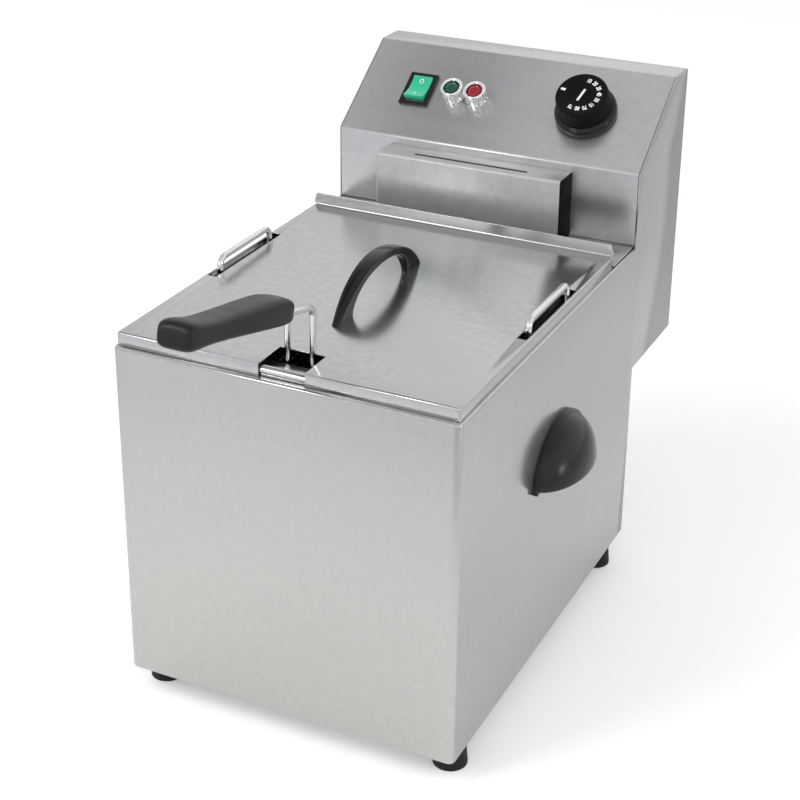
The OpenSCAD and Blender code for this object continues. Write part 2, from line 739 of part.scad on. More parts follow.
module lid_handle() color(black) placed() {
  outer = arch_r(bow_l / 2, bow_h);
  inner = arch_r(bow_l / 2 - 25, bow_h - 7);
  taper = arch_r(bow_l / 2, bow_w / 2 - 2.8);
  difference() {
    intersection() {
      translate([-20, lid_mid, lid_z + bow_h - outer]) rotate([0, 90, 0])
        cylinder(h = 40, r = outer, $fn = 360);
      translate([taper - bow_w / 2, lid_mid, lid_z]) cylinder(h = bow_h + 1, r = taper, $fn = 360);
      translate([bow_w / 2 - taper, lid_mid, lid_z]) cylinder(h = bow_h + 1, r = taper, $fn = 360);
    }
    translate([-21, lid_mid, lid_z + bow_h - 7 - inner]) rotate([0, 90, 0])
      cylinder(h = 42, r = inner, $fn = 360);
    for (y = bow_screw_y) translate([0, y, lid_z - 1]) cylinder(h = 7, r = 2 + fit);
  }
}

module lid_handle_screws() color(bright) placed()
  for (y = bow_screw_y) translate([0, y, lid_z - lid_t]) mirror([0, 0, 1])
    screw(2, 6, 3.6, 2.2);

casing_shell();
rear_panel();
base_plate();
feet();
foot_screws();
rear_panel_screws();
side_handle_left();
side_handle_right();
side_handle_screws();
oil_tank();
tank_handle_left();
tank_handle_right();
control_panel();
control_box();
rear_deck();
heater_cover();
heater_cover_end();
heating_element();
element_straps();
element_guard();
element_terminals();
terminal_plate();
bulb_clips();
thermostat_body();
thermostat_bulb();
limit_thermostat();
limit_bulb();
reset_button();
switch_housing();
switch_rocker();
lamp_bezel_green();
lamp_bezel_red();
lamp_lens_green();
lamp_lens_red();
contactor();
terminal_block();
cable_gland();
control_box_screws();
thermostat_shaft();
knob();
basket_frame();
basket_mesh();
basket_handle_wires();
basket_grip();
lid();
lid_handle();
lid_handle_screws();
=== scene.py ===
"""Countertop deep fryer: the visual model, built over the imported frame.

Sizes are in millimetres, with depth counted back from the casing's front and height up from the
surface the fryer stands on, and each class turns them into the shared frame through a Datum.
"""

from __future__ import annotations

import json
import logging
import math
from dataclasses import dataclass
from enum import Enum
from typing import Callable, Iterable, Sequence

import bmesh
import bpy
from mathutils import Matrix, Vector

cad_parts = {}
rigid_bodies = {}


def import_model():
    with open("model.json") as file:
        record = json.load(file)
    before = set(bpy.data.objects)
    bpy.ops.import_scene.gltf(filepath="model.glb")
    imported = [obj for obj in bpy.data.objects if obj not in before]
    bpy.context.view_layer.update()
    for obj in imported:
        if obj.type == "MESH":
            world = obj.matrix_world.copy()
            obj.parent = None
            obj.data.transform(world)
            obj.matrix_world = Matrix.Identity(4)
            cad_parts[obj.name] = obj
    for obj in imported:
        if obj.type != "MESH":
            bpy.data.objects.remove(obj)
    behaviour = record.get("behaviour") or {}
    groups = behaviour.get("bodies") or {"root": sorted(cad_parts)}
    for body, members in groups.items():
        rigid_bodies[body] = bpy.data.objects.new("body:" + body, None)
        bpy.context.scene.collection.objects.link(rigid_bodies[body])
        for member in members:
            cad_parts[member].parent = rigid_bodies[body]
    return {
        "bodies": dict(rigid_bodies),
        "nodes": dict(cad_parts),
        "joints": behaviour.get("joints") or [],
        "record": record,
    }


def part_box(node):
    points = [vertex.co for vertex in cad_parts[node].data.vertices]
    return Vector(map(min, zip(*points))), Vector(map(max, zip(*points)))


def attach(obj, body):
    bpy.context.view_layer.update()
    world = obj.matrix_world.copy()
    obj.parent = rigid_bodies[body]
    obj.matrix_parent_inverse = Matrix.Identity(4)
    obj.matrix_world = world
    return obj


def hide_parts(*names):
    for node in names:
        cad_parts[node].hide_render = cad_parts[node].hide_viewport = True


MM = 0.001
LOG = logging.getLogger("fryer")
Colour = tuple[float, float, float]

# Without a window the rotate operator turns the other way round.
TURN_SIGN = -1.0


# ---------------------------------------------------------------- places and hand tools


@dataclass(frozen=True)
class Datum:
    """Turns millimetres, with depth from the casing's front, into the shared frame."""

    front: float

    def at(self, x: float, depth: float, height: float) -> Vector:
        """The place in metres of a point given in millimetres."""
        return Vector((x * MM, self.front + depth * MM, height * MM))


@dataclass(frozen=True)
class Slope:
    """The sloping control panel: x across, s up the slope and h out of it, in millimetres."""

    datum: Datum
    depth: float = 347.0
    height: float = 353.0
    angle: float = math.radians(35.735)
    middle: float = 50.51

    def matrix(self, x: float) -> Matrix:
        """The place of a control at x on the middle line of the slope.

        Args:
            x: distance from the middle of the fryer, in millimetres.

        Returns:
            The matrix that takes a piece modelled round the origin to its place.
        """
        depth = self.depth + self.middle * math.cos(self.angle)
        height = self.height + self.middle * math.sin(self.angle)
        place = Matrix.Translation(self.datum.at(x, depth, height))
        return place @ Matrix.Rotation(self.angle, 4, "X")


class Edit:
    """Edit mode on one piece, from the start of a with block to its end."""

    def __init__(self, piece: bpy.types.Object, mode: str = "VERT") -> None:
        """Remember the piece and whether vertices, edges or faces are selected."""
        self.piece = piece
        self.mode = mode

    def __enter__(self) -> "Edit":
        """Go into edit mode."""
        Bench.pick(self.piece)
        bpy.ops.object.mode_set(mode="EDIT")
        bpy.ops.mesh.select_mode(type=self.mode)
        return self

    def __exit__(self, *_: object) -> None:
        """Go back to object mode."""
        bpy.ops.object.mode_set(mode="OBJECT")

    def switch(self, mode: str) -> None:
        """Go over to selecting vertices, edges or faces."""
        self.mode = mode
        bpy.ops.mesh.select_mode(type=mode)

    def choose(self, test: Callable[[object], bool]) -> int:
        """Select the vertices, edges or faces that pass a test, and nothing else.

        Args:
            test: takes a bmesh vertex, edge or face and says whether it is wanted.

        Returns:
            How many were selected.
        """
        mesh = bmesh.from_edit_mesh(self.piece.data)
        mesh.verts.index_update()
        for group in (mesh.verts, mesh.edges, mesh.faces):
            for item in group:
                item.select = False
        wanted = {"VERT": mesh.verts, "EDGE": mesh.edges, "FACE": mesh.faces}[self.mode]
        found = [item for item in wanted if test(item)]
        for item in found:
            item.select_set(True)
        mesh.select_flush_mode()
        bmesh.update_edit_mesh(self.piece.data)
        return len(found)

    def everything(self) -> None:
        """Select the whole mesh."""
        bpy.ops.mesh.select_all(action="SELECT")

    def extrude(self, move: Sequence[float]) -> None:
        """Extrude what is selected and move it."""
        bpy.ops.mesh.extrude_region_move(TRANSFORM_OT_translate={"value": tuple(move)})

    def slide(self, move: Sequence[float]) -> None:
        """Move what is selected."""
        bpy.ops.transform.translate(value=tuple(move))

    def stretch(self, factors: Sequence[float], centre: Sequence[float]) -> None:
        """Scale what is selected about a point."""
        bpy.ops.transform.resize(value=tuple(factors), center_override=tuple(centre))

    def turn(self, angle: float, axis: str, centre: Sequence[float]) -> None:
        """Turn what is selected about a point, counter-clockwise seen against the axis."""
        bpy.ops.transform.rotate(value=TURN_SIGN * angle, orient_axis=axis,
                                 center_override=tuple(centre))

    def spin(self, angle: float, centre: Sequence[float], axis: Sequence[float],
             steps: int) -> None:
        """Sweep what is selected round an axis."""
        bpy.ops.mesh.spin(steps=steps, angle=-angle, center=tuple(centre), axis=tuple(axis))


def middle(item: object) -> Vector:
    """The middle of a bmesh vertex, edge or face."""
    if isinstance(item, bmesh.types.BMVert):
        return item.co
    if isinstance(item, bmesh.types.BMEdge):
        return (item.verts[0].co + item.verts[1].co) / 2
    return item.calc_center_median()


def near(value: float, target: float, slack: float = 0.00005) -> bool:
    """Whether two lengths in metres agree to within a twentieth of a millimetre."""
    return abs(value - target) < slack


def arc(centre: tuple[float, float], radius: float, start: float, end: float,
        steps: int) -> list[tuple[float, float]]:
    """Points along an arc in a plane.

    Args:
        centre: the arc's centre.
        radius: its radius.
        start: the angle of its first point, in degrees from the first axis.
        end: the angle of its last point.
        steps: how many pieces it is cut into.

    Returns:
        The points, first and last among them.
    """
    angles = [math.radians(start + (end - start) * i / steps) for i in range(steps + 1)]
    return [(centre[0] + radius * math.cos(a), centre[1] + radius * math.sin(a)) for a in angles]


def rib_share(place: Vector, ribs: int) -> float:
    """How far a place round the Z axis lies from one rib towards the next.

    Args:
        place: a place on a turned piece that stands at the origin.
        ribs: how many ribs go round.

    Returns:
        The share, from 0 at one rib to 1 at the next.
    """
    return math.atan2(place.y, place.x) / math.tau * ribs % 1.0


class Bench:
    """The bench's tools, each a few of Blender's own operators."""

    @staticmethod
    def clear() -> None:
        """Deselect everything, so that an operator acts only on what it adds."""
        bpy.ops.object.select_all(action="DESELECT")

    @staticmethod
    def pick(piece: bpy.types.Object) -> None:
        """Make a piece the only one selected."""
        Bench.clear()
        piece.hide_set(False)
        piece.select_set(True)
        bpy.context.view_layer.objects.active = piece

    @staticmethod
    def named(name: str) -> bpy.types.Object:
        """Name the piece just added, and its mesh."""
        piece = bpy.context.object
        piece.name = name
        piece.data.name = name
        return piece

    @staticmethod
    def settle(piece: bpy.types.Object, place: Matrix | None = None) -> bpy.types.Object:
        """Put a piece in its place and apply it, so that its object sits at the origin."""
        if place is not None:
            piece.matrix_world = place @ piece.matrix_world
        Bench.pick(piece)
        bpy.ops.object.transform_apply(location=True, rotation=True, scale=True)
        return piece

    @staticmethod
    def block(name: str, low: Vector, high: Vector) -> bpy.types.Object:
        """A cube stretched between two opposite corners."""
        Bench.clear()
        bpy.ops.mesh.primitive_cube_add(size=1.0, location=(low + high) / 2)
        piece = Bench.named(name)
        piece.scale = high - low
        return Bench.settle(piece)

    @staticmethod
    def chain(name: str, points: Sequence[Vector], filled: bool = False) -> bpy.types.Object:
        """A line of vertices, extruded one from another.

        Args:
            name: the piece's name.
            points: the places of the vertices, in metres.
            filled: whether the ends are joined and the outline becomes a face.

        Returns:
            The new piece.
        """
        Bench.clear()
        bpy.ops.mesh.primitive_plane_add(size=1.0, location=(0.0, 0.0, 0.0))
        piece = Bench.named(name)
        with Edit(piece) as edit:
            edit.choose(lambda vertex: vertex.index != 0)
            bpy.ops.mesh.delete(type="VERT")
            edit.choose(lambda vertex: True)
            start = bmesh.from_edit_mesh(piece.data).verts[:][0].co.copy()
            edit.slide(points[0] - start)
            for here, there in zip(points, points[1:]):
                edit.extrude(there - here)
            if filled:
                edit.everything()
                bpy.ops.mesh.edge_face_add()
        return piece

    @staticmethod
    def prism(name: str, points: Sequence[Vector], along: Vector) -> bpy.types.Object:
        """A filled outline extruded into a solid."""
        piece = Bench.chain(name, points, filled=True)
        with Edit(piece, "FACE") as edit:
            edit.everything()
            edit.extrude(along)
        return Bench.outward(piece)

    @staticmethod
    def lathe(name: str, outline: Sequence[tuple[float, float]], steps: int) -> bpy.types.Object:
        """An outline turned about the Z axis.

        Args:
            name: the piece's name.
            outline: radius and height of each point, in millimetres.
            steps: how many steps go round.

        Returns:
            The new piece, closed where its outline meets the axis or itself.
        """
        points = [Vector((radius * MM, 0.0, height * MM)) for radius, height in outline]
        piece = Bench.chain(name, points)
        with Edit(piece) as edit:
            edit.everything()
            edit.spin(math.tau, (0.0, 0.0, 0.0), (0.0, 0.0, 1.0), steps)
        return Bench.outward(piece)

    @staticmethod
    def tube(name: str, corners: Sequence[Vector], radius: float, bend: float,
             sides: int = 12, closed: bool = False) -> bpy.types.Object:
        """A round wire through a list of corners, bent smoothly at each.

        Args:
            name: the piece's name.
            corners: the corners of its path, in metres; a closed wire starts amid a straight.
            radius: the wire's radius, in millimetres.
            bend: the radius of its middle line at a corner, in millimetres.
            sides: how many sides the wire has.
            closed: whether its end meets its start.

        Returns:
            The new piece.
        """
        heading = (corners[1] - corners[0]).normalized()
        Bench.clear()
        bpy.ops.mesh.primitive_circle_add(vertices=sides, radius=radius * MM, location=corners[0],
                                          rotation=heading.to_track_quat("Z", "Y").to_euler())
        piece = Bench.settle(Bench.named(name))
        with Edit(piece, "EDGE") as edit:
            edit.everything()
            place = corners[0]
            for before, corner, after in zip(corners, corners[1:], corners[2:]):
                inward = (corner - before).normalized()
                outward = (after - corner).normalized()
                angle = inward.angle(outward)
                reach = bend * MM * math.tan(angle / 2)
                edit.extrude(corner - inward * reach - place)
                place = corner - inward * reach
                axis = inward.cross(outward).normalized()
                centre = place + axis.cross(inward) * bend * MM
                edit.spin(angle, centre, axis, max(3, round(math.degrees(angle) / 11)))
                place = corner + outward * reach
            edit.extrude(corners[-1] - place)
            if not closed:
                edit.choose(lambda edge: edge.is_boundary)
                bpy.ops.mesh.fill_holes(sides=0)
        return Bench.outward(piece)

    @staticmethod
    def loft(name: str, section: Sequence[tuple[float, float]],
             stations: Sequence["Station"]) -> bpy.types.Object:
        """A closed section carried through a row of stations.

        Args:
            name: the piece's name.
            section: the section's points, across and up, as shares of a half width and height.
            stations: where the section goes, how large it is there and how it is pitched.

        Returns:
            The new piece, closed at both ends.
        """
        first = stations[0]
        tilt = Matrix.Rotation(first.pitch, 3, "X")
        ring = [first.centre + tilt @ Vector((u * first.half_width, 0.0, v * first.half_height))
                for u, v in section]
        piece = Bench.chain(name, ring, filled=True)
        with Edit(piece, "FACE") as edit:
            edit.everything()
            for here, there in zip(stations, stations[1:]):
                edit.extrude((0.0, 0.0, 0.0))
                edit.turn(-here.pitch, "X", here.centre)
                edit.stretch((there.half_width / here.half_width, 1.0,
                              there.half_height / here.half_height), here.centre)
                edit.turn(there.pitch, "X", here.centre)
                edit.slide(there.centre - here.centre)
        return Bench.outward(piece)

    @staticmethod
    def outward(piece: bpy.types.Object) -> bpy.types.Object:
        """Merge doubled vertices and turn the normals outward."""
        with Edit(piece) as edit:
            edit.everything()
            bpy.ops.mesh.remove_doubles(threshold=0.00001)
            bpy.ops.mesh.normals_make_consistent(inside=False)
        return piece

    @staticmethod
    def face_towards(piece: bpy.types.Object, direction: Vector) -> bpy.types.Object:
        """Merge an open sheet's doubles and turn its normals so that its outermost face in a
        direction looks that way."""
        Bench.outward(piece)
        far = max(piece.data.polygons, key=lambda face: face.center.dot(direction)
                  + 0.001 * abs(face.normal.dot(direction)))
        if far.normal.dot(direction) < 0:
            with Edit(piece) as edit:
                edit.everything()
                bpy.ops.mesh.flip_normals()
        return piece

    @staticmethod
    def modify(piece: bpy.types.Object, kind: str, **settings: object) -> bpy.types.Object:
        """Add a modifier, set it and apply it.

        Args:
            piece: the piece to change.
            kind: the modifier's type.
            settings: the modifier's values.

        Returns:
            The same piece.
        """
        Bench.pick(piece)
        modifier = piece.modifiers.new(kind.lower(), kind)
        for name, value in settings.items():
            setattr(modifier, name, value)
        bpy.ops.object.modifier_apply(modifier=modifier.name)
        return piece

    @staticmethod
    def thicken(piece: bpy.types.Object, wall: float) -> bpy.types.Object:
        """Give a sheet its thickness, in millimetres, on its inner side."""
        return Bench.modify(piece, "SOLIDIFY", thickness=wall * MM, offset=-1.0,
                            use_even_offset=True)

    @staticmethod
    def ease(piece: bpy.types.Object, width: float, segments: int = 2,
             angle: float = 40.0) -> bpy.types.Object:
        """Round the edges sharper than an angle, by a width in millimetres."""
        return Bench.modify(piece, "BEVEL", width=width * MM, segments=segments,
                            limit_method="ANGLE", angle_limit=math.radians(angle),
                            use_clamp_overlap=True)

    @staticmethod
    def refine(piece: bpy.types.Object, levels: int) -> bpy.types.Object:
        """Smooth a cage by subdivision."""
        return Bench.modify(piece, "SUBSURF", levels=levels, render_levels=levels)

    @staticmethod
    def repeat(piece: bpy.types.Object, count: int, step: Vector) -> bpy.types.Object:
        """Repeat a piece in a row, each a step in metres from the last."""
        return Bench.modify(piece, "ARRAY", count=count, use_relative_offset=False,
                            use_constant_offset=True, constant_offset_displace=step)

    @staticmethod
    def cut(piece: bpy.types.Object, cutter: bpy.types.Object) -> bpy.types.Object:
        """Take a cutter's space out of a piece and throw the cutter away."""
        Bench.modify(piece, "BOOLEAN", operation="DIFFERENCE", object=cutter, solver="EXACT")
        bpy.data.objects.remove(cutter)
        return piece

    @staticmethod
    def smooth(piece: bpy.types.Object, angle: float = 35.0) -> bpy.types.Object:
        """Shade a piece smooth except over edges sharper than an angle."""
        Bench.pick(piece)
        bpy.ops.object.shade_smooth_by_angle(angle=math.radians(angle))
        return piece

    @staticmethod
    def copy(piece: bpy.types.Object, name: str, place: Matrix) -> bpy.types.Object:
        """A copy of a piece with its own mesh, moved and applied."""
        Bench.pick(piece)
        bpy.ops.object.duplicate(linked=False)
        return Bench.settle(Bench.named(name), place)

    @staticmethod
    def join(pieces: Sequence[bpy.types.Object], name: str) -> bpy.types.Object:
        """Join several meshes into one piece."""
        Bench.pick(pieces[0])
        for piece in pieces[1:]:
            piece.select_set(True)
        bpy.ops.object.join()
        return Bench.named(name)

    @staticmethod
    def copied_node(node: bpy.types.Object, name: str) -> bpy.types.Object:
        """A merged copy of a carried-over node's mesh, with its flat faces made whole."""
        Bench.pick(node)
        bpy.ops.object.duplicate(linked=False)
        piece = Bench.named(name)
        piece.parent = None
        for tag in [tag for tag in piece.keys() if tag.startswith("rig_")]:
            del piece[tag]
        with Edit(piece) as edit:
            edit.everything()
            bpy.ops.mesh.remove_doubles(threshold=0.000005)
            bpy.ops.mesh.dissolve_limited(angle_limit=math.radians(0.6))
        return piece


@dataclass(frozen=True)
class Station:
    """One stop of a loft: a centre in metres, half sizes in metres and a pitch in radians."""

    centre: Vector
    half_width: float
    half_height: float
    pitch: float


def rounded_section(corner: float, steps: int, crown: float = 0.0) -> list[tuple[float, float]]:
    """A rectangle with rounded corners, as shares of its half sizes.

    Args:
        corner: the corner's radius as a share of a half size.
        steps: how many pieces each corner has.
        crown: how far the middle of the top rises, as a share of the half height.

    Returns:
        The points, counter-clockwise from the right of the top.
    """
    points: list[tuple[float, float]] = []
    for across, up, start in ((1, 1, 0), (-1, 1, 90), (-1, -1, 180), (1, -1, 270)):
        centre = (across * (1 - corner), up * (1 - corner))
        points += arc(centre, corner, start, start + 90, steps)
        if start == 0 and crown:
            points.append((0.0, 1.0 + crown))
    return points


# ---------------------------------------------------------------- finishes


class Grain(Enum):
    """Which way the polishing lines of a sheet run, as a stretch of the pattern's space."""

    ACROSS = (0.012, 1.0, 1.0)
    BACK = (1.0, 0.012, 1.0)
    UP = (1.0, 1.0, 0.012)
    NONE = (1.0, 1.0, 1.0)


@dataclass
class Wiring:
    """A node tree and short ways of adding to it."""

    tree: bpy.types.NodeTree

    def node(self, kind: str, values: dict[object, object] | None = None,
             **settings: object) -> bpy.types.Node:
        """Add a node.

        Args:
            kind: the node's type.
            values: what its sockets are set to, or the sockets they are linked from.
            settings: its other properties.

        Returns:
            The node.
        """
        made = self.tree.nodes.new(kind)
        for name, value in settings.items():
            setattr(made, name, value)
        for socket, value in (values or {}).items():
            if isinstance(value, bpy.types.NodeSocket):
                self.tree.links.new(value, made.inputs[socket])
            else:
                made.inputs[socket].default_value = value
        return made

    def sum(self, operation: str, first: object, second: object = 0.0,
            clamp: bool = False) -> bpy.types.NodeSocket:
        """The result of a sum on two values or sockets."""
        return self.node("ShaderNodeMath", {0: first, 1: second}, operation=operation,
                         use_clamp=clamp).outputs[0]

    def blend(self, share: object, first: object, second: object) -> bpy.types.NodeSocket:
        """A mix of two colours."""
        return self.node("ShaderNodeMix", {0: share, 6: first, 7: second},
                         data_type="RGBA").outputs[2]

    def spread(self, value: object, low: float, high: float, start: float = 0.0,
               end: float = 1.0) -> bpy.types.NodeSocket:
        """A value taken from one range to another and kept inside it."""
        return self.node("ShaderNodeMapRange", {0: value, 1: low, 2: high, 3: start, 4: end}
                         ).outputs[0]


@dataclass(frozen=True)
class SharedGroup:
    """A node group that several finishes use, with its inputs and outputs by name."""

    name: str
    inputs: tuple[tuple[str, str, object], ...]
    outputs: tuple[tuple[str, str], ...]

    def build(self) -> tuple[bpy.types.NodeTree, Wiring, bpy.types.Node, bpy.types.Node]:
        """Make the empty group.

        Returns:
            The group, its wiring, and its input and output nodes.
        """
        tree = bpy.data.node_groups.new(self.name, "ShaderNodeTree")
        for name, kind, value in self.inputs:
            socket = tree.interface.new_socket(name, in_out="INPUT", socket_type=kind)
            socket.default_value = value
        for name, kind in self.outputs:
            tree.interface.new_socket(name, in_out="OUTPUT", socket_type=kind)
        return (tree, Wiring(tree), tree.nodes.new("NodeGroupInput"),
                tree.nodes.new("NodeGroupOutput"))


VECTOR = "NodeSocketVector"
FLOAT = "NodeSocketFloat"
ORIGIN = (0.0, 0.0, 0.0)


class Effects:
    """The node groups shared by the finishes."""

    def __init__(self) -> None:
        """Build every group once."""
        self.grain = self._grain()
        self.wear = self._wear()
        self.marks = self._marks()
        self.skin = self._skin()

    @staticmethod
    def _grain() -> bpy.types.NodeTree:
        """Polishing lines: a fine pattern, and the broad streaks it lies in."""
        tree, wiring, start, end = SharedGroup(
            "polishing_lines",
            (("Vector", VECTOR, ORIGIN), ("Stretch", VECTOR, (1.0, 1.0, 1.0)),
             ("Fineness", FLOAT, 1500.0)),
            (("Lines", FLOAT), ("Streaks", FLOAT))).build()
        pulled = wiring.node("ShaderNodeVectorMath",
                             {0: start.outputs["Vector"], 1: start.outputs["Stretch"]},
                             operation="MULTIPLY").outputs[0]
        lines = wiring.node("ShaderNodeTexNoise", {"Vector": pulled, "Detail": 4.0,
                                                   "Scale": start.outputs["Fineness"],
                                                   "Roughness": 0.7})
        broad = wiring.sum("MULTIPLY", start.outputs["Fineness"], 0.06)
        streaks = wiring.node("ShaderNodeTexNoise", {"Vector": pulled, "Detail": 3.0,
                                                     "Scale": broad})
        tree.links.new(lines.outputs["Fac"], end.inputs["Lines"])
        tree.links.new(streaks.outputs["Fac"], end.inputs["Streaks"])
        return tree

    @staticmethod
    def _wear() -> bpy.types.NodeTree:
        """Edges rubbed by handling, broken up along their length."""
        tree, wiring, start, end = SharedGroup(
            "rubbed_edges", (("Vector", VECTOR, ORIGIN), ("Amount", FLOAT, 0.5)),
            (("Mask", FLOAT),)).build()
        shape = wiring.node("ShaderNodeNewGeometry").outputs["Pointiness"]
        edge = wiring.spread(shape, 0.505, 0.56)
        patchy = wiring.node("ShaderNodeTexNoise", {"Vector": start.outputs["Vector"],
                                                    "Scale": 160.0, "Detail": 3.0})
        broken = wiring.spread(patchy.outputs["Fac"], 0.35, 0.65)
        mask = wiring.sum("MULTIPLY", wiring.sum("MULTIPLY", edge, broken),
                          start.outputs["Amount"], clamp=True)
        tree.links.new(mask, end.inputs["Mask"])
        return tree

    @staticmethod
    def _marks() -> bpy.types.NodeTree:
        """Cloudy handling marks and a few small spots."""
        tree, wiring, start, end = SharedGroup(
            "handling_marks", (("Vector", VECTOR, ORIGIN), ("Scale", FLOAT, 20.0)),
            (("Clouds", FLOAT), ("Spots", FLOAT))).build()
        clouds = wiring.node("ShaderNodeTexNoise",
                             {"Vector": start.outputs["Vector"], "Detail": 5.0,
                              "Scale": start.outputs["Scale"], "Distortion": 0.6})
        spot_scale = wiring.sum("MULTIPLY", start.outputs["Scale"], 3.0)
        cells = wiring.node("ShaderNodeTexVoronoi", {"Vector": start.outputs["Vector"],
                                                     "Scale": spot_scale})
        spots = wiring.spread(cells.outputs["Distance"], 0.16, 0.05)
        gate = wiring.spread(clouds.outputs["Fac"], 0.54, 0.66)
        tree.links.new(wiring.spread(clouds.outputs["Fac"], 0.36, 0.66), end.inputs["Clouds"])
        tree.links.new(wiring.sum("MULTIPLY", spots, gate), end.inputs["Spots"])
        return tree

    @staticmethod
    def _skin() -> bpy.types.NodeTree:
        """The fine skin that a mould leaves on plastic and rubber."""
        tree, wiring, start, end = SharedGroup(
            "moulded_skin", (("Vector", VECTOR, ORIGIN), ("Scale", FLOAT, 900.0)),
            (("Height", FLOAT), ("Mottle", FLOAT))).build()
        fine = wiring.node("ShaderNodeTexNoise", {"Vector": start.outputs["Vector"],
                                                  "Scale": start.outputs["Scale"],
                                                  "Detail": 3.0})
        broad = wiring.sum("MULTIPLY", start.outputs["Scale"], 0.05)
        mottle = wiring.node("ShaderNodeTexNoise", {"Vector": start.outputs["Vector"],
                                                    "Scale": broad, "Detail": 4.0})
        tree.links.new(fine.outputs["Fac"], end.inputs["Height"])
        tree.links.new(mottle.outputs["Fac"], end.inputs["Mottle"])
        return tree


def opaque(colour: Colour) -> tuple[float, float, float, float]:
    """A colour with full alpha."""
    return (*colour, 1.0)


def shade(colour: Colour, factor: float) -> Colour:
    """A colour made lighter or darker."""
    return (min(1.0, colour[0] * factor), min(1.0, colour[1] * factor),
            min(1.0, colour[2] * factor))


class Finish:
    """What every finish has: a name, a way to start its material and a way to end it."""

    name: str

    def begin(self) -> tuple[bpy.types.Material, Wiring, bpy.types.Node, bpy.types.NodeSocket]:
        """Start a material.

        Returns:
            The material, its wiring, its principled shader and the object's own coordinates.
        """
        material = bpy.data.materials.new(self.name)
        material.use_nodes = True
        wiring = Wiring(material.node_tree)
        shader = material.node_tree.nodes["Principled BSDF"]
        place = wiring.node("ShaderNodeTexCoord").outputs["Object"]
        return material, wiring, shader, place

    def build(self, effects: Effects) -> bpy.types.Material:
        """Make the material."""
        raise NotImplementedError

    @staticmethod
    def group(wiring: Wiring, tree: bpy.types.NodeTree,
              values: dict[object, object]) -> bpy.types.Node:
        """Place a shared group in a material."""
        node = wiring.node("ShaderNodeGroup", node_tree=tree)
        for socket, value in values.items():
            if isinstance(value, bpy.types.NodeSocket):
                wiring.tree.links.new(value, node.inputs[socket])
            else:
                node.inputs[socket].default_value = value
        return node


@dataclass(frozen=True)
class SteelFinish(Finish):
    """Stainless sheet or bright wire."""

    name: str
    tint: Colour
    roughness: float
    grain: Grain = Grain.NONE
    fineness: float = 1500.0
    lines: float = 0.06
    relief: float = 0.05
    clouds: float = 0.05
    cloud_scale: float = 14.0
    spots: float = 0.0
    wear: float = 0.25
    metal: float = 1.0

    def build(self, effects: Effects) -> bpy.types.Material:
        """Make the steel."""
        material, wiring, shader, place = self.begin()
        grain = self.group(wiring, effects.grain, {"Vector": place, "Stretch": self.grain.value,
                                                   "Fineness": self.fineness})
        marks = self.group(wiring, effects.marks, {"Vector": place, "Scale": self.cloud_scale})
        wear = self.group(wiring, effects.wear, {"Vector": place, "Amount": self.wear})
        lines, streaks = grain.outputs["Lines"], grain.outputs["Streaks"]
        clouds, spots = marks.outputs["Clouds"], marks.outputs["Spots"]
        lined = wiring.blend(lines, opaque(shade(self.tint, 1.0 - self.lines)),
                             opaque(shade(self.tint, 1.0 + self.lines)))
        cloudy = wiring.blend(wiring.sum("MULTIPLY", clouds, self.clouds * 2), lined,
                              opaque(shade(self.tint, 0.8)))
        spotted = wiring.blend(wiring.sum("MULTIPLY", spots, self.spots), cloudy,
                               opaque(shade(self.tint, 1.35)))
        worn = wiring.blend(wear.outputs["Mask"], spotted, opaque(shade(self.tint, 1.3)))
        wiring.tree.links.new(worn, shader.inputs["Base Color"])
        swing = 0.3 * self.lines
        rough = wiring.sum("ADD", wiring.spread(streaks, 0.3, 0.7, self.roughness - swing,
                                                self.roughness + swing),
                           wiring.sum("MULTIPLY", clouds, self.clouds))
        rough = wiring.sum("SUBTRACT", rough, wiring.sum("MULTIPLY", wear.outputs["Mask"], 0.06),
                           clamp=True)
        wiring.tree.links.new(rough, shader.inputs["Roughness"])
        bump = wiring.node("ShaderNodeBump", {"Height": lines, "Strength": self.relief,
                                              "Distance": 0.0002})
        wiring.tree.links.new(bump.outputs["Normal"], shader.inputs["Normal"])
        shader.inputs["Metallic"].default_value = self.metal
        return material


@dataclass(frozen=True)
class PlasticFinish(Finish):
    """Moulded plastic or rubber."""

    name: str
    tint: Colour
    roughness: float
    skin_scale: float = 1400.0
    relief: float = 0.08
    mottle: float = 0.15
    coat: float = 0.0
    wear: float = 0.3
    shine: float = 0.5

    def build(self, effects: Effects) -> bpy.types.Material:
        """Make the plastic."""
        material, wiring, shader, place = self.begin()
        skin = self.group(wiring, effects.skin, {"Vector": place, "Scale": self.skin_scale})
        marks = self.group(wiring, effects.marks, {"Vector": place, "Scale": 30.0})
        wear = self.group(wiring, effects.wear, {"Vector": place, "Amount": self.wear})
        mottled = wiring.blend(skin.outputs["Mottle"], opaque(shade(self.tint, 1 - self.mottle)),
                               opaque(shade(self.tint, 1 + self.mottle)))
        worn = wiring.blend(wear.outputs["Mask"], mottled, opaque(shade(self.tint, 1.9)))
        wiring.tree.links.new(worn, shader.inputs["Base Color"])
        rough = wiring.sum("ADD", wiring.spread(skin.outputs["Mottle"], 0.3, 0.7,
                                                self.roughness - 0.04, self.roughness + 0.04),
                           wiring.sum("MULTIPLY", marks.outputs["Clouds"], 0.05), clamp=True)
        wiring.tree.links.new(rough, shader.inputs["Roughness"])
        bump = wiring.node("ShaderNodeBump", {"Height": skin.outputs["Height"],
                                              "Strength": self.relief, "Distance": 0.0001})
        wiring.tree.links.new(bump.outputs["Normal"], shader.inputs["Normal"])
        shader.inputs["Specular IOR Level"].default_value = self.shine
        shader.inputs["Coat Weight"].default_value = self.coat
        shader.inputs["Coat Roughness"].default_value = 0.12
        return material


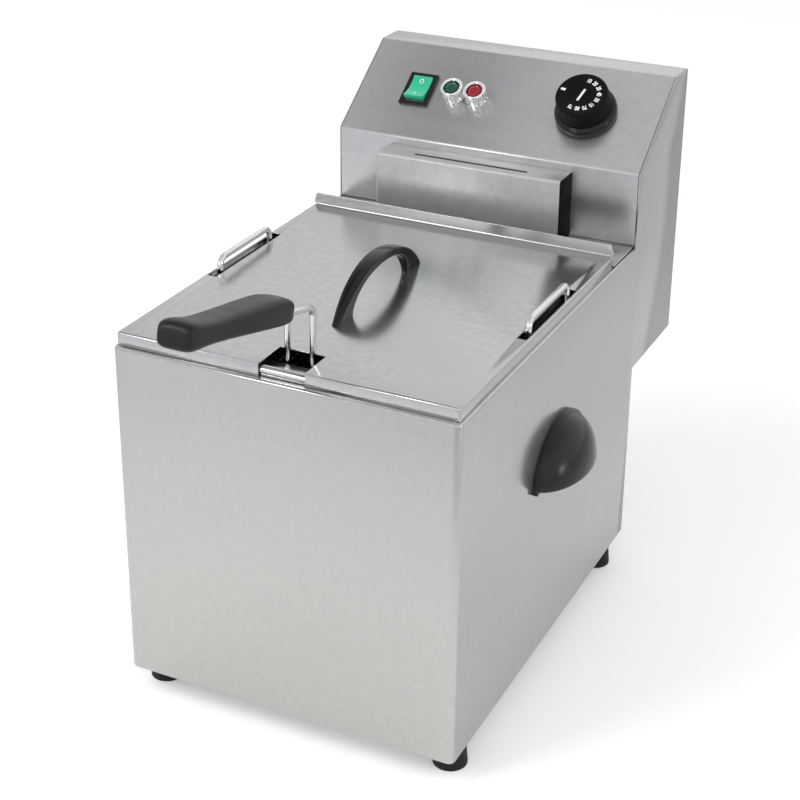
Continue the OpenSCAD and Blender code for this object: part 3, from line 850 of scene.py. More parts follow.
@dataclass(frozen=True)
class GelFinish(Finish):
    """Clear coloured plastic with a deeper tone in places, as in a lens or the rocker, painted
    lighter towards its outline as a painted sheen; its glow on the rocker is painted light.
    """

    name: str
    tint: Colour
    deep: Colour
    roughness: float = 0.12
    glow: float = 0.0

    def build(self, effects: Effects) -> bpy.types.Material:
        """Make the clear plastic."""
        material, wiring, shader, place = self.begin()
        skin = self.group(wiring, effects.skin, {"Vector": place, "Scale": 700.0})
        # painted sheen: the colour turns lighter where the surface turns away from the camera
        depth = wiring.node("ShaderNodeLayerWeight", {"Blend": 0.35}).outputs["Facing"]
        body = wiring.blend(wiring.spread(skin.outputs["Mottle"], 0.3, 0.7), opaque(self.deep),
                            opaque(self.tint))
        rim = wiring.blend(depth, body, opaque(shade(self.tint, 1.25)))
        wiring.tree.links.new(rim, shader.inputs["Base Color"])
        rough = wiring.spread(skin.outputs["Mottle"], 0.3, 0.7, self.roughness,
                              self.roughness + 0.08)
        wiring.tree.links.new(rough, shader.inputs["Roughness"])
        bump = wiring.node("ShaderNodeBump", {"Height": skin.outputs["Mottle"], "Strength": 0.1,
                                              "Distance": 0.0004})
        wiring.tree.links.new(bump.outputs["Normal"], shader.inputs["Normal"])
        # the glow carries the painted sheen's colour; on the rocker the glow is painted light
        wiring.tree.links.new(rim, shader.inputs["Emission Color"])
        shader.inputs["Emission Strength"].default_value = self.glow
        shader.inputs["Coat Weight"].default_value = 0.2
        shader.inputs["Coat Roughness"].default_value = 0.05
        return material


FINISHES: tuple[Finish, ...] = (
    SteelFinish("casing_steel", (0.525, 0.525, 0.52), 0.18, Grain.UP, 1300.0, 0.04, 0.025,
                0.010, 5.0, wear=0.3, metal=0.88),
    SteelFinish("panel_steel", (0.58, 0.58, 0.57), 0.32, Grain.BACK, 1300.0, 0.06),
    SteelFinish("control_steel", (0.55, 0.55, 0.56), 0.31, Grain.ACROSS, 1500.0, 0.08, 0.05,
                0.012, 6.0, wear=0.3, metal=0.88),
    SteelFinish("cover_steel", (0.54, 0.54, 0.53), 0.42, Grain.ACROSS, 900.0, 0.05, 0.04, 0.08,
                24.0, 0.2, 0.35, 0.72),
    SteelFinish("lid_steel", (0.53, 0.53, 0.535), 0.18, Grain.BACK, 1500.0, 0.02, 0.003, 0.004,
                7.0, 0.08, 0.3, 0.96),
    SteelFinish("tank_steel", (0.66, 0.66, 0.66), 0.20, Grain.UP, 1200.0, 0.04, 0.03, 0.06),
    SteelFinish("screw_steel", (0.66, 0.66, 0.66), 0.28, fineness=2500.0, wear=0.6),
    SteelFinish("wire_chrome", (0.80, 0.80, 0.80), 0.12, fineness=2000.0, lines=0.03,
                relief=0.02, clouds=0.04, cloud_scale=60.0),
    SteelFinish("basket_wire", (0.72, 0.72, 0.71), 0.18, fineness=2000.0, clouds=0.1,
                cloud_scale=50.0),
    SteelFinish("lamp_chrome", (0.86, 0.86, 0.86), 0.08, fineness=2400.0, lines=0.02,
                relief=0.01, clouds=0.03, cloud_scale=90.0),
    SteelFinish("element_sheath", (0.22, 0.21, 0.20), 0.42, fineness=1800.0, lines=0.12,
                relief=0.12, clouds=0.3, cloud_scale=35.0),
    SteelFinish("terminal_brass", (0.72, 0.58, 0.30), 0.26, fineness=2200.0, clouds=0.12),
    SteelFinish("bulb_copper", (0.70, 0.38, 0.24), 0.28, fineness=2000.0, clouds=0.2,
                cloud_scale=60.0),
    PlasticFinish("foot_rubber", (0.010, 0.010, 0.010), 0.55, 900.0, 0.25, 0.25, shine=0.25),
    PlasticFinish("handle_plastic", (0.006, 0.006, 0.007), 0.20, 1800.0, 0.04, shine=0.4),
    PlasticFinish("end_plastic", (0.003, 0.003, 0.003), 0.5, shine=0.08),
    PlasticFinish("dark_plastic", (0.03, 0.03, 0.03), 0.5),
    PlasticFinish("reset_red", (0.5, 0.02, 0.02), 0.3, coat=0.3),
    PlasticFinish("switch_black", (0.008, 0.006, 0.006), 0.25, shine=0.35),
    PlasticFinish("pale_plastic", (0.74, 0.72, 0.66), 0.45),
    PlasticFinish("gland_nylon", (0.02, 0.02, 0.02), 0.5, 900.0, 0.2),
    PlasticFinish("knob_plastic", (0.006, 0.006, 0.006), 0.16, 1600.0, 0.04, shine=0.35),
    PlasticFinish("knob_cap", (0.004, 0.004, 0.004), 0.40, 1200.0, 0.10, shine=0.1),
    PlasticFinish("grip_plastic", (0.006, 0.006, 0.008), 0.34, 1500.0, 0.12, 0.2, shine=0.35),
    PlasticFinish("bow_plastic", (0.003, 0.003, 0.003), 0.10, 1800.0, 0.02, shine=0.35),
    PlasticFinish("dial_white", (0.78, 0.78, 0.77), 0.5, 2500.0, 0.1, 0.05),
    # painted shade: the black block that fills the heater cover's slit, where the opening shows
    # only shade
    PlasticFinish("seam_black", (0.004, 0.004, 0.004), 0.7),
    # painted glow: the rocker's glow stands in for light passing through the green plastic
    GelFinish("rocker_green", (0.03, 0.42, 0.24), (0.015, 0.30, 0.17), glow=0.12),
    GelFinish("lens_green", (0.004, 0.09, 0.045), (0.001, 0.03, 0.015), 0.12, 0.02),
    GelFinish("lens_red", (0.34, 0.008, 0.016), (0.12, 0.002, 0.005), 0.12, 0.03),
)


# ---------------------------------------------------------------- the fryer's sub-assemblies


@dataclass
class Workshop:
    """What every sub-assembly needs: the frame, the datum, the slope and the finishes."""

    frame: dict[str, object]
    datum: Datum
    slope: Slope
    materials: dict[str, bpy.types.Material]

    def fit(self, piece: bpy.types.Object, body: str, slot: str, nodes: Iterable[str] = (),
            finish: str = "", smooth: float = 35.0) -> bpy.types.Object:
        """Dress a finished piece, mount it on its body and report it.

        Args:
            piece: the piece, in its place.
            body: the body that it rides on.
            slot: the material slot that it takes its finish from.
            nodes: the frame's nodes that it stands for.
            finish: the finish, where it isn't the slot's own.
            smooth: the angle in degrees past which an edge stays sharp.

        Returns:
            The same piece.
        """
        Bench.smooth(piece, smooth)
        piece.data.materials.clear()
        piece.data.materials.append(self.materials[finish or slot])
        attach(piece, body)
        if nodes:
            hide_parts(*nodes)
        LOG.info("%s rides on %s, %d faces", piece.name, body, len(piece.data.polygons))
        return piece

    def node(self, name: str) -> bpy.types.Object:
        """A node of the frame by name."""
        return self.frame["nodes"][name]


@dataclass
class Casing:
    """The folded outer shell: front, sides and the cheeks that flank the control head."""

    shop: Workshop
    half_width: float = 135.0
    corner: float = 5.0
    low: float = 20.0
    rim: float = 290.0
    fold_radius: float = 2.0
    fold: float = 16.0
    depth: float = 360.0
    head_depth: float = 347.0
    slope_height: float = 353.0
    top: float = 412.0
    under: float = 177.0
    bend_depth: float = 429.0
    back: float = 459.0
    wall: float = 1.2

    def build(self) -> None:
        """Build the shell."""
        at = self.shop.datum.at
        right = [(self.half_width, self.depth), (self.half_width, self.head_depth)]
        turn = arc((self.half_width - self.corner, self.corner), self.corner, 0, -90, 6)
        plan = right + turn
        plan += [(-x, y) for x, y in reversed(plan)]
        start = self.rim - self.fold_radius
        shell = Bench.chain("casing_shell_sheet", [at(x, y, self.low) for x, y in plan])
        with Edit(shell, "EDGE") as edit:
            edit.everything()
            edit.extrude((0, 0, (self.under - self.low) * MM))
            edit.extrude((0, 0, (start - self.under) * MM))
            self._cheeks(edit, start)
            self._front_fold(edit, start)
            self._side_folds(edit, start)
        Bench.face_towards(shell, Vector((0, -1, 0)))
        Bench.thicken(shell, self.wall)
        Bench.ease(shell, 0.35, 2, 50)
        self.shop.fit(shell, "casing", "casing_steel", ["casing_shell"])
        self._corner_caps()

    def _corner_caps(self) -> None:
        """Close the two front corners, where the folds of the front and sides stop short."""
        for side, name in ((-1, "left"), (1, "right")):
            cap = Bench.lathe("casing_corner_" + name,
                              [(0.0, self.rim - 6), (4.8, self.rim - 6), (4.8, self.rim - 1.9),
                               (4.4, self.rim - 0.9), (3.6, self.rim - 0.3),
                               (2.6, self.rim - 0.1), (0.0, self.rim - 0.1)], 40)
            Bench.settle(cap, Matrix.Translation(self.shop.datum.at(
                side * (self.half_width - self.corner), self.corner, 0)))
            self.shop.fit(cap, "casing", "casing_steel", smooth=50)

    def _cheeks(self, edit: Edit, start: float) -> None:
        """Carry the sides back and up into the cheeks beside the control head."""
        at = self.shop.datum.at
        depth = at(0, self.depth, 0).y
        head = at(0, self.head_depth, 0).y
        edit.choose(lambda e: e.is_boundary and near(middle(e).y, depth)
                    and middle(e).z > self.under * MM)
        edit.extrude((0, (self.back - self.depth) * MM, 0))
        edit.choose(lambda e: e.is_boundary and near(middle(e).z, start * MM)
                    and middle(e).y > head + 0.001)
        edit.extrude((0, 0, (self.slope_height - start) * MM))
        edit.extrude((0, 0, (self.top - self.slope_height) * MM))
        edit.mode = "VERT"
        for place, target in ((self.head_depth, self.bend_depth), (self.depth, 440.0)):
            edit.choose(lambda v: near(v.co.z, self.top * MM) and near(v.co.y, at(0, place, 0).y))
            edit.slide((0, (target - place) * MM, 0))
        edit.mode = "EDGE"

    def _curl(self, edit: Edit, direction: Vector, inner: float) -> None:
        """Fold the selected top edge over in a small radius and carry it inward."""
        rim = arc((0.0, 0.0), self.fold_radius, 180, 90, 5)
        for (a, b), (c, d) in zip(rim, rim[1:]):
            edit.extrude(direction * (c - a) * MM + Vector((0, 0, (d - b) * MM)))
        edit.extrude(direction * inner * MM)

    def _front_fold(self, edit: Edit, start: float) -> None:
        """Fold the front's top edge over, with its ends cut back at the corners."""
        front = self.shop.datum.at(0, 0, 0).y
        edit.choose(lambda e: e.is_boundary and near(middle(e).z, start * MM)
                    and near(middle(e).y, front))
        self._curl(edit, Vector((0, 1, 0)), self.fold + 1)
        width = self.half_width - self.corner
        edit.stretch(((width - self.fold - 2) / width, 1, 1), (0, 0, 0))

    def _side_folds(self, edit: Edit, start: float) -> None:
        """Fold the sides' top edges over, as far back as the control head."""
        at = self.shop.datum.at
        for side in (-1, 1):
            edit.choose(lambda e: e.is_boundary and near(middle(e).z, start * MM)
                        and near(middle(e).x, side * self.half_width * MM)
                        and middle(e).y < at(0, self.head_depth, 0).y)
            self._curl(edit, Vector((-side, 0, 0)), self.fold - self.fold_radius)
            length = self.head_depth - self.corner
            edit.stretch((1, (length - self.fold) / length, 1), at(0, self.head_depth, 0))


@dataclass
class Lid:
    """The loose lid and its bow handle."""

    shop: Workshop
    half_width: float = 133.0
    front: float = 4.0
    back: float = 298.0
    low: float = 290.1
    top: float = 300.0
    bend: float = 1.5
    lip: float = 310.0
    lip_cut: float = 7.0
    notch: float = 18.0
    notch_depth: float = 35.0
    slot_inner: float = 123.2
    slot_outer: float = 130.8
    slot_front: float = 122.0
    slot_back: float = 222.0
    wall: float = 1.0

    def build(self) -> None:
        """Build the lid and its handle."""
        self._sheet()
        BowHandle(self.shop).build()

    def _profile(self) -> list[tuple[float, float]]:
        """The sheet's outline from the front flange to the turned-up back edge."""
        points = [(self.front, self.low)]
        points += arc((self.front + self.bend, self.top - self.bend), self.bend, 180, 90, 4)
        points += [(self.notch_depth, self.top), (self.slot_front, self.top),
                   (self.slot_back, self.top)]
        foot = self.back - self.wall - self.bend
        points += arc((foot, self.top + self.bend), self.bend, -90, 0, 4)
        return points + [(self.back - self.wall, self.lip)]

    def _sheet(self) -> None:
        """Fold the lid out of one sheet."""
        at = self.shop.datum.at
        flat = self.half_width - self.bend
        columns = [-flat, -self.slot_outer, -self.half_width + self.lip_cut, -self.slot_inner,
                   -self.notch, self.notch, self.slot_inner, self.half_width - self.lip_cut,
                   self.slot_outer, flat]
        sheet = Bench.chain("lid_sheet", [at(columns[0], y, z) for y, z in self._profile()])
        with Edit(sheet, "EDGE") as edit:
            edit.everything()
            for here, there in zip(columns, columns[1:]):
                edit.extrude(((there - here) * MM, 0, 0))
            self._flanges(edit, flat)
            edit.switch("FACE")
            low, high = at(0, self.slot_front, 0).y, at(0, self.slot_back, 0).y
            edit.choose(lambda f: self._is_open(middle(f), low, high))
            bpy.ops.mesh.delete(type="FACE")
            edit.switch("VERT")
            back = at(0, self.back - self.wall, 0).y
            edit.choose(lambda v: abs(v.co.x) > flat * MM - 1e-5 and near(v.co.z, self.lip * MM))
            edit.slide((0, 0, (3.0 + self.top - self.lip) * MM))
            edit.choose(lambda v: abs(v.co.x) > flat * MM - 1e-5 and near(v.co.y, back)
                        and v.co.z > (self.top + self.bend) * MM - 1e-5)
            edit.stretch((self.half_width / flat, 1, 1), (0, 0, 0))
        Bench.face_towards(sheet, Vector((0, -1, 0)))
        Bench.thicken(sheet, self.wall)
        Bench.ease(sheet, 0.3, 2, 50)
        self.shop.fit(sheet, "lid", "lid_steel", ["lid"])
        self._corner_posts()

    def _corner_posts(self) -> None:
        """Close the two front corners, where the front flange meets the side flanges."""
        for side, name in ((-1, "left"), (1, "right")):
            post = Bench.lathe("lid_corner_" + name,
                               [(0.0, self.low + 0.1), (1.4, self.low + 0.1),
                                (1.4, self.top - 1.4), (1.2, self.top - 0.8),
                                (0.8, self.top - 0.3), (0.0, self.top - 0.1)], 24)
            Bench.settle(post, Matrix.Translation(self.shop.datum.at(
                side * (self.half_width - self.bend), self.front + self.bend, 0)))
            self.shop.fit(post, "lid", "lid_steel", smooth=50)

    def _is_open(self, place: Vector, low: float, high: float) -> bool:
        """Whether a face lies in the notch or in one of the two slots."""
        notch = (abs(place.x) < self.notch * MM
                 and place.y < self.shop.datum.at(0, self.notch_depth, 0).y
                 and place.z < self.top * MM + 1e-5)
        slot = (self.slot_inner * MM < abs(place.x) < self.slot_outer * MM
                and low < place.y < high and place.z > self.top * MM - 1e-5)
        return notch or slot

    def _flanges(self, edit: Edit, flat: float) -> None:
        """Fold the two sides down."""
        rim = arc((0.0, 0.0), self.bend, 90, 0, 4)
        for side in (-1, 1):
            edit.choose(lambda e: e.is_boundary and near(middle(e).x, side * flat * MM)
                        and near(middle(e).z, self.top * MM))
            for (a, b), (c, d) in zip(rim, rim[1:]):
                edit.extrude((side * (c - a) * MM, 0, (d - b) * MM))
            edit.extrude((0, 0, (self.low - self.top + self.bend) * MM))


@dataclass
class BowHandle:
    """The glossy arch that lifts the lid."""

    shop: Workshop
    middle_depth: float = 150.5
    top: float = 300.0
    half: float = 69.0
    rise: float = 32.4
    gap_half: float = 44.0
    gap_rise: float = 25.6
    gap_power: float = 2.2
    half_width: float = 6.4
    taper: float = 3.6
    reach: float = 1.15
    steps: int = 40

    def _outer(self, share: float) -> tuple[float, float]:
        """A point on the outer arch, a part of a circle, at a share from -1 to 1."""
        radius = (self.half * self.half + self.rise * self.rise) / (2 * self.rise)
        angle = math.asin(self.half / radius) * share
        return radius * math.sin(angle), self.rise - radius + radius * math.cos(angle)

    def _inner(self, share: float) -> tuple[float, float]:
        """A point on the fuller arch over the fingers, at a share from -1 to 1."""
        if abs(share) > 1:
            return math.copysign(self.gap_half, share), (1 - abs(share)) * self.half
        angle = share * math.pi / 2
        power = 2 / self.gap_power
        depth = math.copysign(abs(math.sin(angle)) ** power, share) * self.gap_half
        return depth, abs(math.cos(angle)) ** power * self.gap_rise

    def _stations(self) -> list[Station]:
        """Where the band's section goes, from the front foot to the back one."""
        stations = []
        for i in range(self.steps + 1):
            share = self.reach * (2 * i / self.steps - 1)
            outer, inner = self._outer(share), self._inner(share)
            depth = (outer[0] + inner[0]) / 2
            height = (outer[1] + inner[1]) / 2
            pitch = math.atan2(inner[0] - outer[0], outer[1] - inner[1])
            thick = math.hypot(outer[0] - inner[0], outer[1] - inner[1]) / 2
            width = self.half_width - self.taper * min(1.0, share * share)
            stations.append(Station(
                self.shop.datum.at(0, self.middle_depth + depth, self.top + height),
                width * MM, thick * MM, pitch))
        return stations

    def build(self) -> None:
        """Carry a crowned section with a raised edge bead along the arch."""
        section = [(0.86, 1.0), (0.45, 1.10), (0.0, 1.14), (-0.45, 1.10), (-0.86, 1.0),
                   (-0.97, 0.93), (-1.0, 0.72), (-0.93, 0.56), (-0.93, -0.70), (-0.82, -0.93),
                   (-0.5, -1.0), (0.5, -1.0), (0.82, -0.93), (0.93, -0.70), (0.93, 0.56),
                   (1.0, 0.72), (0.97, 0.93)]
        bow = Bench.loft("lid_bow_handle", section, self._stations())
        Bench.refine(bow, 2)
        with Edit(bow) as edit:
            floor = (self.top + 0.05) * MM
            edit.everything()
            bpy.ops.mesh.bisect(plane_co=(0, 0, floor), plane_no=(0, 0, 1), use_fill=True,
                                clear_inner=True)
        self.shop.fit(bow, "lid", "bow_plastic", ["lid_handle"], smooth=50)


@dataclass
class Basket:
    """The wire basket with its long handle."""

    shop: Workshop
    half_width: float = 99.0
    front: float = 34.0
    back: float = 287.0
    low: float = 180.0
    top: float = 276.0
    wire: float = 0.55
    pitch: float = 7.0
    rim_wire: float = 3.0
    handle_x: float = 10.0
    handle_depth: float = 31.5
    bend_height: float = 337.0
    handle_wire: float = 2.5
    rise: float = math.radians(14.0)
    grip_gap: float = 27.0

    def build(self) -> None:
        """Build the mesh, the rim, the handle's wires and the grip."""
        self._rim()
        self._mesh()
        self._wires()
        self._grip()

    def _rim(self) -> None:
        """Bend the rim wire into a rounded rectangle, with a brace below it."""
        at = self.shop.datum.at
        loops = []
        for name, height, radius, gap in (("rim", self.top - 3, self.rim_wire, 4.3),
                                          ("brace", self.low + 3, 2.0, 4.0)):
            x, y0, y1 = self.half_width - gap, self.front + gap, self.back - gap
            corners = [at(0, y0, height), at(x, y0, height), at(x, y1, height),
                       at(-x, y1, height), at(-x, y0, height), at(0, y0, height)]
            loops.append(Bench.tube("basket_" + name, corners, radius, 12, 10, closed=True))
        self.shop.fit(Bench.join(loops, "basket_rim_wires"), "basket", "wire_chrome",
                      ["basket_frame"], smooth=50)

    def _bars(self, name: str, path: Sequence[Vector], count: int, step: Vector
              ) -> bpy.types.Object:
        """One bent wire, repeated side by side."""
        return Bench.repeat(Bench.tube(name, path, self.wire, 3.0, 5), count, step)

    def _mesh(self) -> None:
        """Weave the basket out of wires that run down, under and up again, and round it."""
        at = self.shop.datum.at
        inset = 1.2
        x, y0, y1 = self.half_width - inset, self.front + inset, self.back - inset
        low, top = self.low + inset, self.top - 2
        across = int((2 * x - 8) // self.pitch)
        along = int((y1 - y0 - 8) // self.pitch)
        start_x, start_y = -across * self.pitch / 2, (y0 + y1 - along * self.pitch) / 2
        lengthwise = self._bars("basket_long_wires",
                                [at(start_x, y0, top), at(start_x, y0, low),
                                 at(start_x, y1, low), at(start_x, y1, top)],
                                across + 1, Vector((self.pitch * MM, 0, 0)))
        crosswise = self._bars("basket_cross_wires",
                               [at(-x + 0.9, start_y, top), at(-x + 0.9, start_y, low + 0.9),
                                at(x - 0.9, start_y, low + 0.9), at(x - 0.9, start_y, top)],
                               along + 1, Vector((0, self.pitch * MM, 0)))
        rings = int((top - low) // self.pitch)
        ring = [at(0, y0, low + 5), at(x, y0, low + 5), at(x, y1, low + 5), at(-x, y1, low + 5),
                at(-x, y0, low + 5), at(0, y0, low + 5)]
        hoop = Bench.tube("basket_hoops", ring, self.wire, 4.0, 5, closed=True)
        Bench.repeat(hoop, rings, Vector((0, 0, self.pitch * MM)))
        woven = Bench.join([lengthwise, crosswise, hoop], "basket_wire_mesh")
        self.shop.fit(woven, "basket", "basket_wire", ["basket_mesh"], smooth=50)

    def _along(self, x: float, reach: float, lift: float = 0.0) -> Vector:
        """A point in the handle's own frame: how far forward of the bend, and above its line."""
        return self.shop.datum.at(
            x, self.handle_depth - reach * math.cos(self.rise) - lift * math.sin(self.rise),
            self.bend_height + reach * math.sin(self.rise) + lift * math.cos(self.rise))

    def _wires(self) -> None:
        """Bend the two wires that run from the basket up into the grip."""
        wires = []
        for side, x in (("left", -self.handle_x), ("right", self.handle_x)):
            path = [self.shop.datum.at(x, self.handle_depth, self.low + 12),
                    self._along(x, 0), self._along(x, 60)]
            wires.append(Bench.tube("handle_wire_" + side, path, self.handle_wire, 9.0, 18))
        self.shop.fit(Bench.join(wires, "basket_handle_bent_wires"), "basket", "wire_chrome",
                      ["basket_handle_wires"], smooth=50)

    def _grip(self) -> None:
        """Shape the grip: a hump near the wires, a long fall, a waist and a rounded front end."""
        stops = ((0.0, 9.0, 5.2, 0.0), (1.4, 11.3, 7.2, 0.2), (4.0, 12.6, 8.6, 0.5),
                 (10.0, 13.2, 9.6, 1.0), (20.0, 13.4, 10.1, 1.6), (32.0, 13.4, 9.9, 1.6),
                 (48.0, 13.3, 9.3, 1.2), (66.0, 13.1, 8.6, 0.8), (84.0, 12.9, 8.0, 0.4),
                 (98.0, 12.8, 7.7, 0.1), (108.0, 13.0, 7.9, 0.0), (116.0, 13.4, 8.7, 0.2),
                 (123.0, 13.7, 9.4, 0.4), (128.5, 13.6, 9.3, 0.3), (132.0, 12.4, 8.0, 0.0),
                 (132.8, 10.4, 6.0, 0.0), (133.05, 8.0, 4.0, 0.0))
        stations = [Station(self._along(0, self.grip_gap + reach, lift), width * MM, height * MM,
                            -self.rise) for reach, width, height, lift in stops]
        grip = Bench.loft("basket_grip_moulding", rounded_section(0.5, 3, 0.05), stations)
        Bench.refine(grip, 2)
        self.shop.fit(grip, "basket", "grip_plastic", ["basket_grip"], smooth=60)


@dataclass
class SideHandle:
    """One quarter-round finger shell on a side of the casing."""

    shop: Workshop
    side: int
    name: str
    half_width: float = 135.0
    depth: float = 184.68
    height: float = 172.01
    reach: float = 27.0
    half_length: float = 50.0
    rise: float = 42.0
    wall: float = 3.0
    lip: float = 4.4
    drop: float = 2.5

    def build(self) -> None:
        """Cut the shell out of a ball, hollow it and lay a lip against the casing."""
        at = self.shop.datum.at
        centre = at(self.side * self.half_width, self.depth, self.height)
        Bench.clear()
        bpy.ops.mesh.primitive_uv_sphere_add(segments=64, ring_count=32, radius=1.0,
                                             location=centre)
        shell = Bench.named(self.name + "_shell")
        shell.scale = (self.reach * MM, self.half_length * MM, self.rise * MM)
        Bench.settle(shell)
        with Edit(shell) as edit:
            edit.everything()
            bpy.ops.mesh.bisect(plane_co=centre, plane_no=(self.side, 0, 0), clear_inner=True)
            edit.everything()
            bpy.ops.mesh.bisect(plane_co=centre, plane_no=(0, 0, 1), clear_inner=True)
            edit.everything()
            edit.stretch((1.0, 0.97, 0.97), centre)
        Bench.face_towards(shell, Vector((self.side, 0, 0)))
        Bench.thicken(shell, self.wall)
        Bench.ease(shell, 0.8, 3, 50)
        self.shop.fit(shell, "casing", "handle_plastic", [self.name], smooth=50)
        rim = [at(self.side * (self.half_width + 0.1), self.depth + y, self.height + z)
               for y, z in self._rim(1.0)]
        hole = [at(self.side * (self.half_width - 2), self.depth + y, self.height + z)
                for y, z in self._rim(0.86)]
        lip = Bench.prism(self.name + "_lip", rim, Vector((self.side * self.lip * MM, 0, 0)))
        cutter = Bench.prism("lip_cutter", hole, Vector((self.side * 12 * MM, 0, 0)))
        Bench.cut(lip, cutter)
        Bench.ease(lip, 0.6, 3, 50)
        self.shop.fit(lip, "casing", "handle_plastic", smooth=50)

    def _rim(self, share: float) -> list[tuple[float, float]]:
        """A half oval as deep and high as a share of the shell's own."""
        drop = -self.drop if share >= 1.0 else -3 * self.drop
        edge = [(share * self.half_length * math.cos(math.radians(a)),
                 share * self.rise * math.sin(math.radians(a))) for a in range(0, 181, 6)]
        return [(edge[0][0], drop)] + edge + [(edge[-1][0], drop)]


@dataclass
class ControlHead:
    """The sheet that carries the controls and the cover in front of it."""

    shop: Workshop
    half_width: float = 133.5
    low: float = 292.2
    depth: float = 347.0
    slope_height: float = 353.0
    bend_depth: float = 429.0
    top: float = 412.0
    back: float = 459.0
    wall: float = 1.2
    bend: float = 3.5
    cover_left: float = -88.0
    cover_right: float = 76.6
    cover_front: float = 321.6
    cover_back: float = 346.9
    cover_low: float = 292.4
    cover_top: float = 346.0
    slit_left: float = -56.0
    slit_right: float = 45.0

    def build(self) -> None:
        """Build the panel and the heater cover."""
        self._panel()
        self._cover()

    def _panel(self) -> None:
        """Fold the control panel: upright front, slope and flat top, with soft bends."""
        at = self.shop.datum.at
        slope = math.degrees(math.atan2(self.top - self.slope_height,
                                        self.bend_depth - self.depth))
        low_reach = self.bend * math.tan(math.radians((90 - slope) / 2))
        high_reach = self.bend * math.tan(math.radians(slope / 2))
        points = [(self.depth, self.low)]
        points += arc((self.depth + self.bend, self.slope_height - low_reach), self.bend,
                      180, 90 + slope, 5)
        points += arc((self.bend_depth + high_reach, self.top - self.bend), self.bend,
                      90 + slope, 90, 5)
        points += [(self.back, self.top), (self.back, self.top - self.wall - 6)]
        panel = Bench.chain("control_panel_sheet",
                            [at(-self.half_width, y, z) for y, z in points])
        with Edit(panel, "EDGE") as edit:
            edit.everything()
            edit.extrude((2 * self.half_width * MM, 0, 0))
        Bench.face_towards(panel, Vector((0, -1, 0)))
        Bench.thicken(panel, self.wall)
        Bench.ease(panel, 0.25, 2, 60)
        self.shop.fit(panel, "head", "control_steel", ["control_panel"])

    def _cover(self) -> None:
        """Fold the box over the heater's terminals, with its slit, a black block in the slit that
        is painted shade, and its dark right end.
        """
        at = self.shop.datum.at
        cover = Bench.block("heater_cover_sheet",
                            at(self.cover_left, self.cover_front, self.cover_low),
                            at(self.cover_right, self.cover_back, self.cover_top))
        with Edit(cover, "EDGE") as edit:
            left, front, top = at(self.cover_left, self.cover_front, self.cover_top)
            edit.choose(lambda e: (near(middle(e).y, front) and near(middle(e).z, top))
                        or (near(middle(e).x, left) and near(middle(e).z, top))
                        or (near(middle(e).x, left) and near(middle(e).y, front)))
            bpy.ops.mesh.bevel(offset=2.6 * MM, segments=5, affect="EDGES")
        slit = Bench.block("slit_cutter", at(self.slit_left, 328.6, 340),
                           at(self.slit_right, 332.4, 350))
        Bench.cut(cover, slit)
        Bench.ease(cover, 0.25, 2, 60)
        self.shop.fit(cover, "head", "cover_steel", ["heater_cover"])
        # painted shade: a black block fills the slit where the opening would be dark inside
        slot = Bench.block("heater_cover_slit", at(self.slit_left, 328.5, 342),
                           at(self.slit_right, 332.5, 345.8))
        Bench.ease(slot, 0.1, 1, 60)
        self.shop.fit(slot, "head", "cover_steel", finish="seam_black")
        end = Bench.block("heater_cover_end_plate",
                          at(self.cover_right + 0.1, 321.8, self.cover_low),
                          at(78, self.cover_back, 345.6))
        Bench.ease(end, 0.5, 3, 60)
        self.shop.fit(end, "head", "end_plastic", ["heater_cover_end"])


